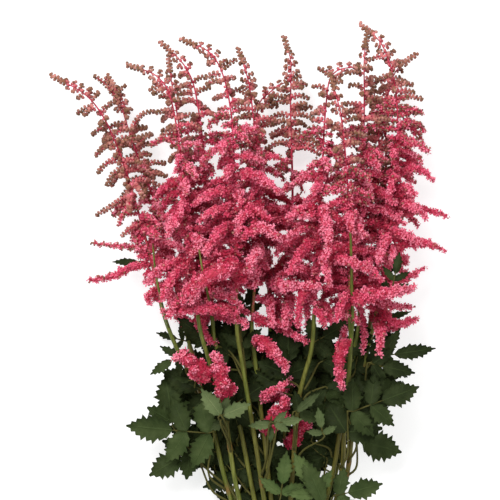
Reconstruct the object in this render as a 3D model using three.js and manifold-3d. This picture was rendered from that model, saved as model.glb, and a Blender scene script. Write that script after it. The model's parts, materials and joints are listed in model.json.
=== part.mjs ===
// A florist's bunch of cut astilbe, lying on a table: fifteen flower stems held by one elastic band.
// Millimetres, +Z up. The board frame used below has x across the bunch, y from the cut ends to the
// plume tips and z up from the table. The finished model is centred on its box at the end.
import * as THREE from 'three';
import { mergeVertices } from 'three/addons/utils/BufferGeometryUtils.js';
import Module from 'manifold-3d';

const wasm = await Module();
wasm.setup();

// ---------------------------------------------------------------- driving dimensions
const SEAT = 0.3;                  // gap between a piece and the piece that carries it
const CLEAR = 0.4;                 // least gap between flowers of two plumes

const TIE = { x: 282, y: 72, half: 3.5, wall: 1.6, straight: 13 };
const STEM = { cut: 8, footRadius: 2.7, topRadius: 2.1, sides: 6, packing: 0.35 };
const STEM_TURN = Math.PI / STEM.sides;
const STEM_LEVELS = [TIE.y + TIE.straight, 130, 200, 270, 335];

const AXIS = { baseRadius: 1.8, tipRadius: 0.9, step: 33, sides: 3, turn: 0.5 };
const CATKIN = { length: 40, radius: 4.0, step: 6.2, sway: 1.5 };
const SPRAY = {
  first: 43,                       // distance of the first side spray from the plume tip
  gap: 10.5,                       // distance to the next one, near the tip
  gapGrowth: 0.05,                 // what each millimetre down the axis adds to that distance
  reach: 0.25,                     // spray length for each millimetre from the tip
  longest: 62,
  slim: 4.2,                       // radius of a spray in bud, near the tip
  full: 7.4,                       // radius of a spray in open flower
  step: 9.5,                       // from one ring of flowers to the next
  sunk: 0.8,                       // root radius, as a share of the axis it is sunk in
  flatten: 0.8,
  pressed: 0.45,                   // least height of its middle above the table, as a share of its radius
};
const GOLDEN = 137.5;
const TURNS = [0, 16, -16, 32, -32, 50, -50, 72, -72, 100, -100];
const SHORTER = [1, 0.8, 0.62];
const CEILING = 152;
const STALK = { radius: 1.15, sides: 3, steps: 4, taper: 0.08 };
const BLADE = {
  thick: 0.8,
  fold: 0.2,                       // lift of its edge for each millimetre from the rib
  arch: 0.18,                      // fall of its tip, as a share of a leaflet's length
  slim: 0.58,                      // width of a leaflet, as a share of its length
  spread: 62,                      // angle between the end leaflet and the first pair
  neck: 0.9,                       // half width of the strip between leaflets
  pairs: 0.8,                      // length of the first pair, as a share of the end leaflet's
  rearPair: 0.84,                  // the same for the second pair
  step: 0.3,                       // from the first pair to the end leaflet, as such a share
  rearStep: 0.5,                   // from the second pair to the first
};
const TOOTH = { most: 3, fewest: 2, small: 26, proud: 1.14, cut: 0.78, point: 0.82, notch: 1.02, rest: 0.6 };
const SIDE_SPRAY_STEP = 6.4;

// Outline that side sprays grown by rule stay inside: y, leftmost x, rightmost x.
const OUTLINE = [
  [355, 172, 385], [380, 160, 396], [410, 146, 408], [440, 124, 418],
  [480, 112, 428], [520, 104, 434], [560, 60, 430], [700, 40, 440],
];

const COLOURS = {
  stem: 0x6f7c38,
  leaf: 0x2f4f27,
  paleLeaf: 0x64845a,
  band: 0xc9b48a,
  sideSpray: 0xe0587f,
  plume: 0xcf4468,
};

// Each flower stem: its row and place in the tie, the points its stem passes above the tie, and the
// points its plume's axis passes from the lowest spray to the tip.
const FLOWER_STEMS = [
  { row: 1, place: 0, stem: [[230, 200, 27], [207, 290, 36], [177, 350, 46]],
    axis: [[161, 394, 52], [148, 452, 56], [120, 546, 58], [92, 599, 60], [51, 625, 60]] },
  { row: 0, place: 0, stem: [[233, 200, 15], [214, 270, 18], [196, 330, 22]],
    axis: [[181, 384, 25], [160, 478, 27], [129, 566, 27], [117, 606, 27], [106, 627, 28]] },
  { row: 2, place: 0, stem: [[239, 200, 39], [224, 288, 52], [209, 340, 66]],
    axis: [[198, 385, 78], [186, 500, 90], [174, 590, 90], [159, 621, 88], [128, 634, 86]] },
  { row: 0, place: 1, stem: [[248, 200, 16], [233, 280, 20], [217, 340, 25]],
    axis: [[204, 385, 29], [190, 500, 31], [176, 590, 31], [170, 625, 33], [168, 646, 35]] },
  { row: 1, place: 1, stem: [[254, 200, 27], [237, 284, 37], [218, 346, 48]],
    axis: [[212, 384, 54], [208, 500, 62], [198, 594, 62], [186, 632, 62], [160, 658, 62]] },
  { row: 2, place: 1, stem: [[264, 200, 38], [251, 284, 54], [240, 350, 72]],
    axis: [[237, 378, 80], [235, 500, 97], [231, 588, 98], [215, 640, 94], [182, 659, 90]] },
  { row: 1, place: 2, stem: [[271, 200, 27], [261, 290, 37], [254, 350, 48]],
    axis: [[252, 376, 54], [260, 500, 63], [252, 595, 62], [246, 628, 60], [238, 652, 58]] },
  { row: 0, place: 3, stem: [[286, 200, 15], [286, 290, 19], [289, 350, 24]],
    axis: [[291, 384, 27], [293, 500, 32], [291, 590, 32], [291, 640, 34], [284, 665, 36]] },
  { row: 0, place: 2, stem: [[278, 200, 15], [272, 290, 18], [270, 350, 23]],
    axis: [[270, 384, 26], [264, 500, 28], [257, 586, 26], [272, 611, 28], [300, 626, 28]] },
  { row: 1, place: 4, stem: [[342, 200, 27], [355, 280, 38], [368, 350, 49]],
    axis: [[376, 384, 54], [394, 500, 61], [397, 594, 62], [384, 651, 62], [360, 676, 62]] },
  { row: 1, place: 3, stem: [[328, 200, 27], [344, 290, 38], [355, 350, 48]],
    axis: [[360, 392, 55], [362, 500, 65], [364, 590, 66], [364, 640, 66], [367, 668, 66]] },
  { row: 2, place: 2, stem: [[291, 200, 39], [299, 300, 57], [311, 350, 72]],
    axis: [[314, 392, 82], [320, 500, 96], [325, 592, 94], [334, 626, 90], [369, 632, 86]] },
  { row: 2, place: 3, stem: [[337, 200, 39], [345, 280, 54], [350, 350, 72]],
    axis: [[349, 392, 82], [347, 500, 98], [341, 574, 99], [334, 606, 99], [329, 624, 99]] },
  { row: 0, place: 5, stem: [[331, 200, 16], [348, 280, 21], [365, 350, 27]],
    axis: [[374, 392, 30], [386, 500, 32], [388, 594, 31], [397, 630, 33], [418, 648, 34]] },
  { row: 0, place: 4, stem: [[314, 200, 14], [329, 290, 20], [342, 350, 25]],
    axis: [[352, 392, 28], [377, 520, 42], [379, 576, 42], [375, 608, 42], [371, 624, 42]] },
];

// Sprays that stand out at the edges and on the face of the bunch: their plume, the height on its axis
// that they leave from, the points they pass to the tip, and their radius.
const REACHING_SPRAYS = [
  { plume: 1, from: 560, points: [[103, 552, 64], [96, 544, 66]], radius: 4 },
  { plume: 1, from: 533, points: [[113, 526, 62], [107, 515, 64]], radius: 4 },
  { plume: 1, from: 507, points: [[114, 496, 54], [96, 485, 48]], radius: 4.2 },
  { plume: 1, from: 478, points: [[130, 471, 64], [122, 464, 68]], radius: 6 },
  { plume: 1, from: 452, points: [[118, 454, 46], [90, 457, 42]], radius: 4.2 },
  { plume: 1, from: 434, points: [[135, 434, 62], [110, 423, 64], [87, 419, 62]], radius: 6 },
  { plume: 1, from: 404, points: [[148, 406, 62], [150, 396, 74]], radius: 5 },
  { plume: 10, from: 572, points: [[408, 577, 66], [421, 576, 68]], radius: 4 },
  { plume: 10, from: 550, points: [[411, 548, 65], [423, 537, 66]], radius: 4.4 },
  { plume: 10, from: 526, points: [[418, 532, 61], [434, 519, 60]], radius: 5 },
  { plume: 10, from: 505, points: [[404, 514, 74], [415, 503, 80]], radius: 6.4 },
  { plume: 10, from: 482, points: [[420, 491, 58], [449, 483, 56]], radius: 5.4 },
  { plume: 10, from: 448, points: [[416, 458, 62], [445, 450, 64]], radius: 6.2 },
  { plume: 10, from: 416, points: [[404, 420, 46], [427, 433, 42]], radius: 5 },
  { plume: 10, from: 396, points: [[392, 378, 68], [417, 381, 72]], radius: 6.4 },
  { plume: 11, from: 408, points: [[385, 396, 73], [413, 393, 76]], radius: 6.4 },
  { plume: 13, from: 402, points: [[380, 411, 94], [415, 412, 94]], radius: 8 },
  { plume: 6, from: 412, points: [[236, 436, 110], [212, 428, 118], [190, 412, 118], [184, 396, 112]],
    radius: 10 },
  { plume: 6, from: 388, points: [[214, 392, 98], [188, 391, 104], [164, 388, 100]], radius: 7.4 },
  { plume: 6, from: 462, points: [[246, 466, 116], [262, 470, 122], [277, 463, 120]], radius: 7 },
  { plume: 6, from: 430, points: [[250, 430, 108], [252, 444, 118]], radius: 8 },
  { plume: 12, from: 420, points: [[303, 410, 104], [298, 392, 110], [297, 374, 106]], radius: 7 },
  { plume: 13, from: 448, points: [[330, 452, 116], [322, 440, 124]], radius: 8 },
];

// Sprays on the underside that the bunch rests on, given in the same way.
const RESTING_SPRAYS = [
  { plume: 2, from: 562, points: [[134, 562, 11], [142, 560, 1.6], [152, 558, 1.6]], radius: 5.5 },
  { plume: 2, from: 432, points: [[177, 436, 11], [185, 437, 2], [195, 437, 2]], radius: 6.5 },
  { plume: 4, from: 500, points: [[194, 502, 12], [202, 503, 2], [212, 503, 2]], radius: 6.5 },
  { plume: 9, from: 470, points: [[273, 472, 11], [282, 473, 2], [294, 473, 2]], radius: 7.5 },
  { plume: 8, from: 560, points: [[297, 562, 12], [305, 563, 1.6], [315, 563, 1.6]], radius: 5.5 },
  { plume: 14, from: 540, points: [[382, 539, 12], [374, 538, 1.6], [364, 538, 1.6]], radius: 5.5 },
  { plume: 14, from: 440, points: [[374, 441, 12], [366, 441, 2], [356, 441, 2]], radius: 6.5 },
];

// Short flower sprays low on the stems: their stem, the height they leave it at, and as above.
const SIDE_SPRAYS = [
  { stem: 3, from: 318, points: [[203, 325, 72], [193, 338, 82], [178, 347, 86]], radius: 8.5 },
  { stem: 3, from: 298, points: [[224, 306, 68], [223, 318, 78], [220, 332, 80], [216, 348, 80]],
    radius: 8 },
  { stem: 7, from: 352, points: [[259, 360, 64], [273, 348, 72], [288, 331, 74]], radius: 7 },
  { stem: 9, from: 292, points: [[277, 302, 30], [284, 312, 40], [292, 323, 46]], radius: 6.5 },
  { stem: 7, from: 262, points: [[270, 274, 48], [280, 286, 60], [287, 302, 66]], radius: 8.5 },
  { stem: 8, from: 246, points: [[292, 256, 28], [301, 270, 36], [312, 285, 40]], radius: 7 },
  { stem: 13, from: 352, points: [[343, 358, 88], [338, 340, 94], [341, 312, 90]], radius: 7.5 },
];

// Leaves: their carrier and the height they leave it at, the joint of the leaflets, their heading in
// degrees, the length of the end leaflet, and the count. A leaf with five leaflets carries its second
// pair behind the joint.
const LEAVES = [
  { name: 'leaf_upper_left', plume: 1, from: 424, joint: [137, 438, 38], heading: 180, size: 26,
    leaflets: 1, slim: 0.3 },
  { name: 'leaf_left_lance', stem: 2, from: 346, joint: [182, 358, 12], heading: 164, size: 22,
    leaflets: 3, slim: 0.36 },
  { name: 'leaf_left_olive', stem: 1, from: 322, joint: [178, 344, 58], heading: 214, size: 26,
    leaflets: 3, slim: 0.4 },
  { name: 'leaf_left_short', stem: 1, from: 307, joint: [190, 319, 47], heading: 178, size: 24,
    leaflets: 1, slim: 0.34 },
  { name: 'leaf_big_left', stem: 1, from: 208, joint: [186, 268, 50], heading: 175, size: 47,
    leaflets: 5 },
  { name: 'leaf_back_left', stem: 2, from: 190, joint: [208, 250, 10], heading: 96, size: 44,
    leaflets: 3 },
  { name: 'leaf_pale_left', stem: 3, from: 252, joint: [225, 280, 66], heading: 130, size: 22,
    leaflets: 3, spread: 84, pale: true },
  { name: 'leaf_pale_middle', stem: 6, from: 216, joint: [271, 279, 76], heading: -92, size: 16,
    leaflets: 3, spread: 84, pale: true },
  { name: 'leaf_middle_right', stem: 12, from: 262, joint: [299, 288, 74], heading: 40, size: 28,
    leaflets: 3 },
  { name: 'leaf_big_right', stem: 10, from: 236, joint: [370, 296, 76], heading: 20, size: 40,
    leaflets: 5 },
  { name: 'leaf_inner_right', stem: 12, from: 300, joint: [326, 308, 50], heading: -96, size: 34,
    leaflets: 3 },
  { name: 'leaf_right_lance', stem: 10, from: 330, joint: [382, 344, 62], heading: 8, size: 42,
    leaflets: 3, slim: 0.36, spread: 48 },
  { name: 'leaf_right_ovate', stem: 10, from: 222, joint: [363, 257, 36], heading: -16, size: 42,
    leaflets: 1, slim: 0.72 },
  { name: 'leaf_low_right', stem: 13, from: 176, joint: [338, 204, 52], heading: 14, size: 36,
    leaflets: 3 },
  { name: 'leaf_low_middle', stem: 6, from: 168, joint: [281, 206, 54], heading: 82, size: 33,
    leaflets: 3 },
  { name: 'leaf_low_bright', stem: 12, from: 166, joint: [316, 206, 63], heading: 118, size: 36,
    leaflets: 3 },
  { name: 'leaf_upper_right', stem: 14, from: 378, joint: [390, 422, 12], heading: 66, size: 18,
    leaflets: 5, slim: 0.36 },
  { name: 'leaf_right_slim', stem: 14, from: 356, joint: [386, 381, 32], heading: 14, size: 28,
    leaflets: 1, slim: 0.26 },
  { name: 'leaf_centre_small', stem: 5, from: 322, joint: [243, 334, 42], heading: 72, size: 18,
    leaflets: 3 },
  { name: 'leaf_back_middle', stem: 4, from: 196, joint: [252, 240, 10], heading: 100, size: 44,
    leaflets: 3 },
  { name: 'leaf_back_right', stem: 8, from: 226, joint: [306, 270, 10], heading: 74, size: 42,
    leaflets: 3 },
];

// ---------------------------------------------------------------- small helpers
const UPRIGHT = new THREE.Vector3(0, 0, 1);
const ORIGIN = new THREE.Vector3();
const UP_THE_BUNCH = new THREE.Vector3(0, 1, 0);
const radians = THREE.MathUtils.degToRad;
const vector = ([x, y, z]) => new THREE.Vector3(x, y, z);
const clamp = THREE.MathUtils.clamp;
const number = (index) => String(index).padStart(2, '0');

/** Seeded draws from 0 to 1. */
function draws(seed) {
  let state = seed >>> 0;
  return () => {
    state = (Math.imul(state, 1664525) + 1013904223) >>> 0;
    return state / 4294967296;
  };
}

/** A smooth path through points, measured along its length. */
class Path {
  constructor(points, perSpan = 12) {
    const curve = new THREE.CatmullRomCurve3(points, false, 'catmullrom', 0.5);
    const count = perSpan * (points.length - 1);
    this.perSpan = perSpan;
    this.samples = Array.from({ length: count + 1 }, (_, k) => curve.getPoint(k / count));
    this.travelled = [0];
    for (let k = 1; k <= count; k += 1) {
      this.travelled.push(this.travelled[k - 1] + this.samples[k].distanceTo(this.samples[k - 1]));
    }
    this.length = this.travelled[count];
  }

  at(distance) {
    const wanted = clamp(distance, 0, this.length);
    let k = 1;
    while (k < this.travelled.length - 1 && this.travelled[k] < wanted) {
      k += 1;
    }
    const share = (wanted - this.travelled[k - 1]) / (this.travelled[k] - this.travelled[k - 1]);
    return this.samples[k - 1].clone().lerp(this.samples[k], share);
  }

  direction(distance) {
    return this.at(distance + 2).sub(this.at(distance - 2)).normalize();
  }

  /** Distance travelled to the point numbered `index` of those that the path was made of. */
  reachOf(index) {
    return this.travelled[index * this.perSpan];
  }
}

/** Which straight stretch between climbing points holds height y, and how far along it that is. */
function stretchAt(points, y) {
  let k = 1;
  while (k < points.length - 1 && points[k].y < y) {
    k += 1;
  }
  return [k, (y - points[k - 1].y) / (points[k].y - points[k - 1].y)];
}

/** The point at height y on the straight stretches between climbing points. */
function atHeight(points, y) {
  const [k, share] = stretchAt(points, y);
  return points[k - 1].clone().lerp(points[k], share);
}

/** A value read off a table of [y, a, b] rows, straight between them. */
function tableAt(table, y, column) {
  let k = 1;
  while (k < table.length - 1 && table[k][0] < y) {
    k += 1;
  }
  const share = clamp((y - table[k - 1][0]) / (table[k][0] - table[k - 1][0]), 0, 1);
  return THREE.MathUtils.lerp(table[k - 1][column], table[k][column], share);
}

// ---------------------------------------------------------------- solids
/** Makes a solid of vertices (Vector3) and triangles (index triples, counter-clockwise outside). */
function solidOf(vertices, triangles) {
  const vertProperties = Float32Array.from(vertices.flatMap((v) => [v.x, v.y, v.z]));
  const triVerts = Uint32Array.from(triangles.flat());
  return new wasm.Manifold(new wasm.Mesh({ numProp: 3, vertProperties, triVerts }));
}

/** Joins rings of equal count into one closed skin, with a flat start and a pointed or flat end. */
function skinOf(rings, tip) {
  const sides = rings[0].length;
  const vertices = rings.flat();
  const triangles = [];
  for (let ring = 0; ring + 1 < rings.length; ring += 1) {
    for (let k = 0; k < sides; k += 1) {
      const a = ring * sides + k;
      const b = ring * sides + ((k + 1) % sides);
      triangles.push([a, b, a + sides], [b, b + sides, a + sides]);
    }
  }
  const last = (rings.length - 1) * sides;
  for (let k = 1; k + 1 < sides; k += 1) {
    triangles.push([0, k + 1, k]);
    if (!tip) {
      triangles.push([last, last + k, last + k + 1]);
    }
  }
  if (tip) {
    vertices.push(tip);
    for (let k = 0; k < sides; k += 1) {
      triangles.push([last + k, last + ((k + 1) % sides), vertices.length - 1]);
    }
  }
  return solidOf(vertices, triangles);
}

/** One ring of a skin: `sides` points round a centre, square to a direction. */
function ringAt(centre, direction, reference, radius, sides, turn) {
  const across = reference.clone().cross(direction).normalize();
  const over = direction.clone().cross(across);
  return Array.from({ length: sides }, (_, k) => {
    const angle = turn + (2 * Math.PI * k) / sides;
    return centre.clone()
      .addScaledVector(across, radius * Math.cos(angle))
      .addScaledVector(over, radius * Math.sin(angle));
  });
}

/** Direction of a row of points at point k. */
function headingAt(points, k) {
  const before = points[Math.max(k - 1, 0)];
  const after = points[Math.min(k + 1, points.length - 1)];
  return after.clone().sub(before).normalize();
}

/** Rings along a course: the first lies flat on its carrier, and the bends don't twist the others. */
function ringsFrom({ away, along }, points, radii, turnOf) {
  let reference = along.clone().cross(away);
  return points.map((point, k) => {
    const heading = k ? headingAt(points, k) : away;
    const ring = ringAt(point, heading, reference, radii[k], STALK.sides, turnOf(k));
    reference = heading.clone().cross(reference.clone().cross(heading)).normalize();
    return ring;
  });
}

/** Makes a solid of one of three.js's own closed geometries. */
function solidFrom(geometry) {
  geometry.deleteAttribute('normal');
  geometry.deleteAttribute('uv');
  const { attributes, index } = mergeVertices(geometry);
  return new wasm.Manifold(new wasm.Mesh({
    numProp: 3, vertProperties: attributes.position.array, triVerts: Uint32Array.from(index.array),
  }));
}

/** Everything above the table: a flower that would dip below it is pressed flat. */
const ABOVE_TABLE = solidFrom(new THREE.BoxGeometry(1200, 1600, 400).translate(250, 350, 200));

function joined(solids) {
  let whole = solids[0];
  for (const solid of solids.slice(1)) {
    whole = whole.add(solid);
  }
  return whole.intersect(ABOVE_TABLE).simplify(0.03);
}

// ---------------------------------------------------------------- who stands where
/** Every round stretch placed so far: two ends, a radius and the name of its owner. */
const taken = [];

function take(owner, points, radii) {
  for (let k = 0; k + 1 < points.length; k += 1) {
    taken.push({ owner, a: points[k], b: points[k + 1], radius: Math.max(radii[k], radii[k + 1]) });
  }
}

/** Least distance between two straight stretches a-b and c-d. */
function distanceBetween(a, b, c, d) {
  const ux = b.x - a.x;
  const uy = b.y - a.y;
  const uz = b.z - a.z;
  const vx = d.x - c.x;
  const vy = d.y - c.y;
  const vz = d.z - c.z;
  const wx = a.x - c.x;
  const wy = a.y - c.y;
  const wz = a.z - c.z;
  const uu = ux * ux + uy * uy + uz * uz;
  const vv = vx * vx + vy * vy + vz * vz;
  const uv = ux * vx + uy * vy + uz * vz;
  const uw = ux * wx + uy * wy + uz * wz;
  const vw = vx * wx + vy * wy + vz * wz;
  const spread = uu * vv - uv * uv;
  let s = spread > 1e-9 ? clamp((uv * vw - vv * uw) / spread, 0, 1) : 0;
  let t = (uv * s + vw) / vv;
  if (t < 0) {
    t = 0;
    s = clamp(-uw / uu, 0, 1);
  } else if (t > 1) {
    t = 1;
    s = clamp((uv - uw) / uu, 0, 1);
  }
  return Math.hypot(wx + s * ux - t * vx, wy + s * uy - t * vy, wz + s * uz - t * vz);
}

/** Whether a row of points with these radii stays clear of all that other owners have taken. */
function isClear(owner, points, radii) {
  for (let k = 0; k + 1 < points.length; k += 1) {
    const radius = Math.max(radii[k], radii[k + 1]);
    for (const other of taken) {
      const own = other.owner === owner;
      if (own && (k === 0 || other.radius < SPRAY.slim)) {
        continue;
      }
      const wanted = own ? 0.92 * (radius + other.radius) : radius + other.radius + CLEAR;
      if (distanceBetween(points[k], points[k + 1], other.a, other.b) < wanted) {
        return false;
      }
    }
  }
  return true;
}

// ---------------------------------------------------------------- sprays of flowers
/** Radii along a spray of n steps: a slim root, a full body and a narrowing end. */
function sprayRadii(n, radius, root) {
  return Array.from({ length: n + 1 }, (_, k) => {
    const share = k / n;
    return k === 0 ? root : radius * (1 - 0.5 * share * share) * Math.min(1, 0.72 + 0.28 * k);
  });
}

/** A spray covered in flowers: three flowers a ring, each ring turned against the last. */
function spraySolid(points, radii, reference) {
  const rings = points.slice(0, -1).map((point, k) => (
    ringAt(point, headingAt(points, k), reference, radii[k], 3, k * Math.PI / 3)));
  return skinOf(rings, points[points.length - 1]);
}

/** The course of a spray grown by rule from a plume's axis. */
function sprayCourse(root, along, angle, length, rise, droop, radius) {
  const across = along.clone().cross(UPRIGHT).normalize();
  const over = across.clone().cross(along);
  const out = across.multiplyScalar(Math.cos(angle)).addScaledVector(over, SPRAY.flatten * Math.sin(angle));
  const steps = Math.max(2, Math.round(length / SPRAY.step));
  return Array.from({ length: steps + 1 }, (_, k) => {
    const share = k / steps;
    const point = root.clone()
      .addScaledVector(out, length * share)
      .addScaledVector(along, length * (rise * share - droop * share * share));
    if (k > 0) {
      point.z = clamp(point.z, SPRAY.pressed * radius, CEILING - radius);
    }
    return point;
  });
}

function insideOutline(point) {
  return point.y > OUTLINE[0][0]
    && point.x > tableAt(OUTLINE, point.y, 1)
    && point.x < tableAt(OUTLINE, point.y, 2);
}

/** Evenly spaced points along a smooth path through a few given ones. */
function evenly(points, step) {
  const path = new Path(points);
  const count = Math.max(3, Math.round(path.length / step));
  return Array.from({ length: count + 1 }, (_, k) => path.at((path.length * k) / count));
}

// ---------------------------------------------------------------- courses of stems and plumes
/** Centre of one stem in the tie, where the stems lie in a honeycomb. */
function placeInTie({ row, place }) {
  const pitch = 2 * STEM.footRadius * Math.cos(Math.PI / 6) + STEM.packing;
  const inRow = FLOWER_STEMS.filter((other) => other.row === row).length;
  const x = TIE.x + (place - (inRow - 1) / 2) * pitch;
  const z = TIE.wall + SEAT + STEM.footRadius + row * pitch * Math.sin(Math.PI / 3);
  return { x, z };
}

const flowers = FLOWER_STEMS.map((plan, k) => {
  const { x, z } = placeInTie(plan);
  const splay = TIE.x + 1.35 * (x - TIE.x);
  const cut = STEM.cut + 3 * Math.sin(2.4 * k);
  const points = [
    [splay, cut, z],
    [x, TIE.y - TIE.straight, z],
    [x, TIE.y + TIE.straight, z],
    ...plan.stem,
    ...plan.axis,
  ].map(vector);
  const path = new Path(points);
  const base = path.reachOf(points.length - plan.axis.length);
  return { number: k + 1, x, z, cut, path, base, baseLevel: plan.axis[0][1] };
});

/** Radius of a stem at a height: full up to the tie, then narrowing to the plume. */
function stemRadius(flower, y) {
  const above = TIE.y + TIE.straight;
  const share = clamp((y - above) / (flower.baseLevel - above), 0, 1);
  return THREE.MathUtils.lerp(STEM.footRadius, STEM.topRadius, share);
}

/** Centres and radii of one stem at its levels, from the cut to the plume. */
function stemCourse(flower) {
  const top = flower.baseLevel - SEAT;
  const levels = [flower.cut, TIE.y - TIE.straight, ...STEM_LEVELS.filter((y) => y < top - 12), top];
  const points = levels.map((y) => atHeight(flower.path.samples, y));
  const radii = levels.map((y) => stemRadius(flower, y));
  return { points, radii };
}

function axisCourse(flower) {
  const end = flower.path.length - CATKIN.length;
  const steps = Math.max(4, Math.round((end - flower.base) / AXIS.step));
  const points = [];
  const radii = [];
  for (let k = 0; k <= steps; k += 1) {
    const share = k / steps;
    points.push(flower.path.at(flower.base + (end - flower.base) * share));
    radii.push(THREE.MathUtils.lerp(AXIS.baseRadius, AXIS.tipRadius, share));
  }
  return { points, radii };
}

/** The point of a plume's axis, as its straight stretches run, at a share of its length. */
function onAxis(flower, share) {
  const { points } = flower.axis;
  const place = clamp(share, 0, 1) * (points.length - 1);
  const k = Math.min(Math.floor(place), points.length - 2);
  return points[k].clone().lerp(points[k + 1], place - k);
}

/** The plume's end: buds set left and right of a thin axis. */
function catkinCourse(flower) {
  const steps = Math.round(CATKIN.length / CATKIN.step);
  const start = flower.path.length - CATKIN.length;
  const points = [];
  const radii = [];
  for (let k = 0; k <= steps; k += 1) {
    const distance = start + (CATKIN.length * k) / steps;
    const side = flower.path.direction(distance).cross(UPRIGHT).normalize();
    const sway = k === 0 || k === steps ? 0 : CATKIN.sway * (k % 2 ? 1 : -1);
    points.push(flower.path.at(distance).addScaledVector(side, sway));
    radii.push(k === 0 ? AXIS.tipRadius : CATKIN.radius * (1 - 0.45 * (k / steps)));
  }
  return { points, radii };
}

const owner = { stem: (k) => `stem_${number(k)}`, plume: (k) => `plume_${number(k)}` };
for (const flower of flowers) {
  flower.stem = stemCourse(flower);
  flower.axis = axisCourse(flower);
  flower.catkin = catkinCourse(flower);
  flower.sprays = [];
  take(owner.stem(flower.number), flower.stem.points, flower.stem.radii);
  take(owner.plume(flower.number), flower.axis.points, flower.axis.radii);
  take(owner.plume(flower.number), flower.catkin.points, flower.catkin.radii);
}

// ---------------------------------------------------------------- leaves
/** Half width of a leaflet along its rib, from 0 at the base to 0 at the tip. */
function leafWidth(share, half) {
  return half * Math.sin(Math.PI * share ** 0.72) ** 0.85;
}

/** Teeth along one edge of a leaflet, base to tip: each a point and the notch after it. */
function leafTeeth(length, half) {
  const teeth = length > TOOTH.small ? TOOTH.most : TOOTH.fewest;
  return Array.from({ length: teeth }, (_, k) => {
    const tooth = (k + TOOTH.point) / (teeth + TOOTH.rest);
    const notch = (k + TOOTH.notch) / (teeth + TOOTH.rest);
    return [[tooth, leafWidth(tooth, half) * TOOTH.proud], [notch, leafWidth(notch, half) * TOOTH.cut]];
  }).flat();
}

/** The flat plan of a leaf that grows into a plate: points [forward, side, lift] and their triangles. */
class LeafPlate {
  constructor() {
    this.points = [];
    this.faces = [];
  }

  point(forward, side, lift = 0) {
    return this.points.push([forward, side, lift]) - 1;
  }

  /** A small square where leaflets meet: its front right, front left, back left and back right. */
  hub(forward) {
    const half = BLADE.neck;
    const [right, left] = [this.point(forward + half, -half), this.point(forward + half, half)];
    const [backLeft, backRight] = [this.point(forward - half, half), this.point(forward - half, -half)];
    this.faces.push([right, left, backLeft], [right, backLeft, backRight]);
    return { right, left, backLeft, backRight };
  }

  /** A narrow strip of blade from one pair of points to the next pair ahead of it. */
  strip(backRight, backLeft, right, left) {
    this.faces.push([backRight, right, left], [backRight, left, backLeft]);
  }

  /** A toothed leaflet on two neck points, fanned round a low point of its rib. */
  leaflet(neckRight, neckLeft, from, turn, length, slim) {
    const [ahead, aside] = [Math.cos(turn), Math.sin(turn)];
    const spot = ([along, out]) => this.point(
      from + ahead * along * length - aside * out,
      aside * along * length + ahead * out,
      BLADE.fold * Math.abs(out) - BLADE.arch * length * along * along);
    const teeth = leafTeeth(length, 0.5 * slim * length);
    const rightEdge = teeth.map(([along, out]) => spot([along, -out]));
    const leftEdge = teeth.map(spot).reverse();
    const rib = spot([0.45, 0]);
    const rim = [neckRight, ...rightEdge, spot([1, 0]), ...leftEdge, neckLeft];
    rim.forEach((p, k) => this.faces.push([rib, p, rim[(k + 1) % rim.length]]));
  }

  /** The plate's solid: two like faces and the rim between them. */
  solid(place) {
    const under = this.points.length;
    const vertices = [BLADE.thick / 2, -BLADE.thick / 2].flatMap((up) => (
      this.points.map(([forward, side, lift]) => place(forward, side, lift + up))));
    const edges = this.faces.flatMap(([p, q, r]) => [[p, q], [q, r], [r, p]]);
    const inner = new Set(edges.map(([p, q]) => `${q},${p}`));
    const rim = edges.filter(([p, q]) => !inner.has(`${p},${q}`));
    return solidOf(vertices, [
      ...this.faces,
      ...this.faces.map(([p, q, r]) => [p + under, r + under, q + under]),
      ...rim.flatMap(([p, q]) => [[p + under, q + under, q], [p + under, q, p]]),
    ]);
  }
}

/** Where a stalk leaves its carrier towards a point, a seat's gap off the carrier's surface. */
function rootOn(plan, towards) {
  const flower = flowers[(plan.stem ?? plan.plume) - 1];
  const { points, radii } = plan.stem ? flower.stem : flower.axis;
  const [k, share] = stretchAt(points, plan.from);
  const centre = points[k - 1].clone().lerp(points[k], share);
  const radius = THREE.MathUtils.lerp(radii[k - 1], radii[k], share);
  const along = points[k].clone().sub(points[k - 1]).normalize();
  const away = towards.clone().sub(centre);
  away.addScaledVector(along, -away.dot(along)).normalize();
  const carrier = plan.stem
    ? ringAt(ORIGIN, UP_THE_BUNCH, UPRIGHT, radius, STEM.sides, STEM_TURN)
    : ringAt(ORIGIN, along, UPRIGHT, radius, AXIS.sides, AXIS.turn);
  const reach = Math.max(...carrier.map((corner) => corner.dot(away)));
  return { root: centre.addScaledVector(away, reach + SEAT), along, away };
}

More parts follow.
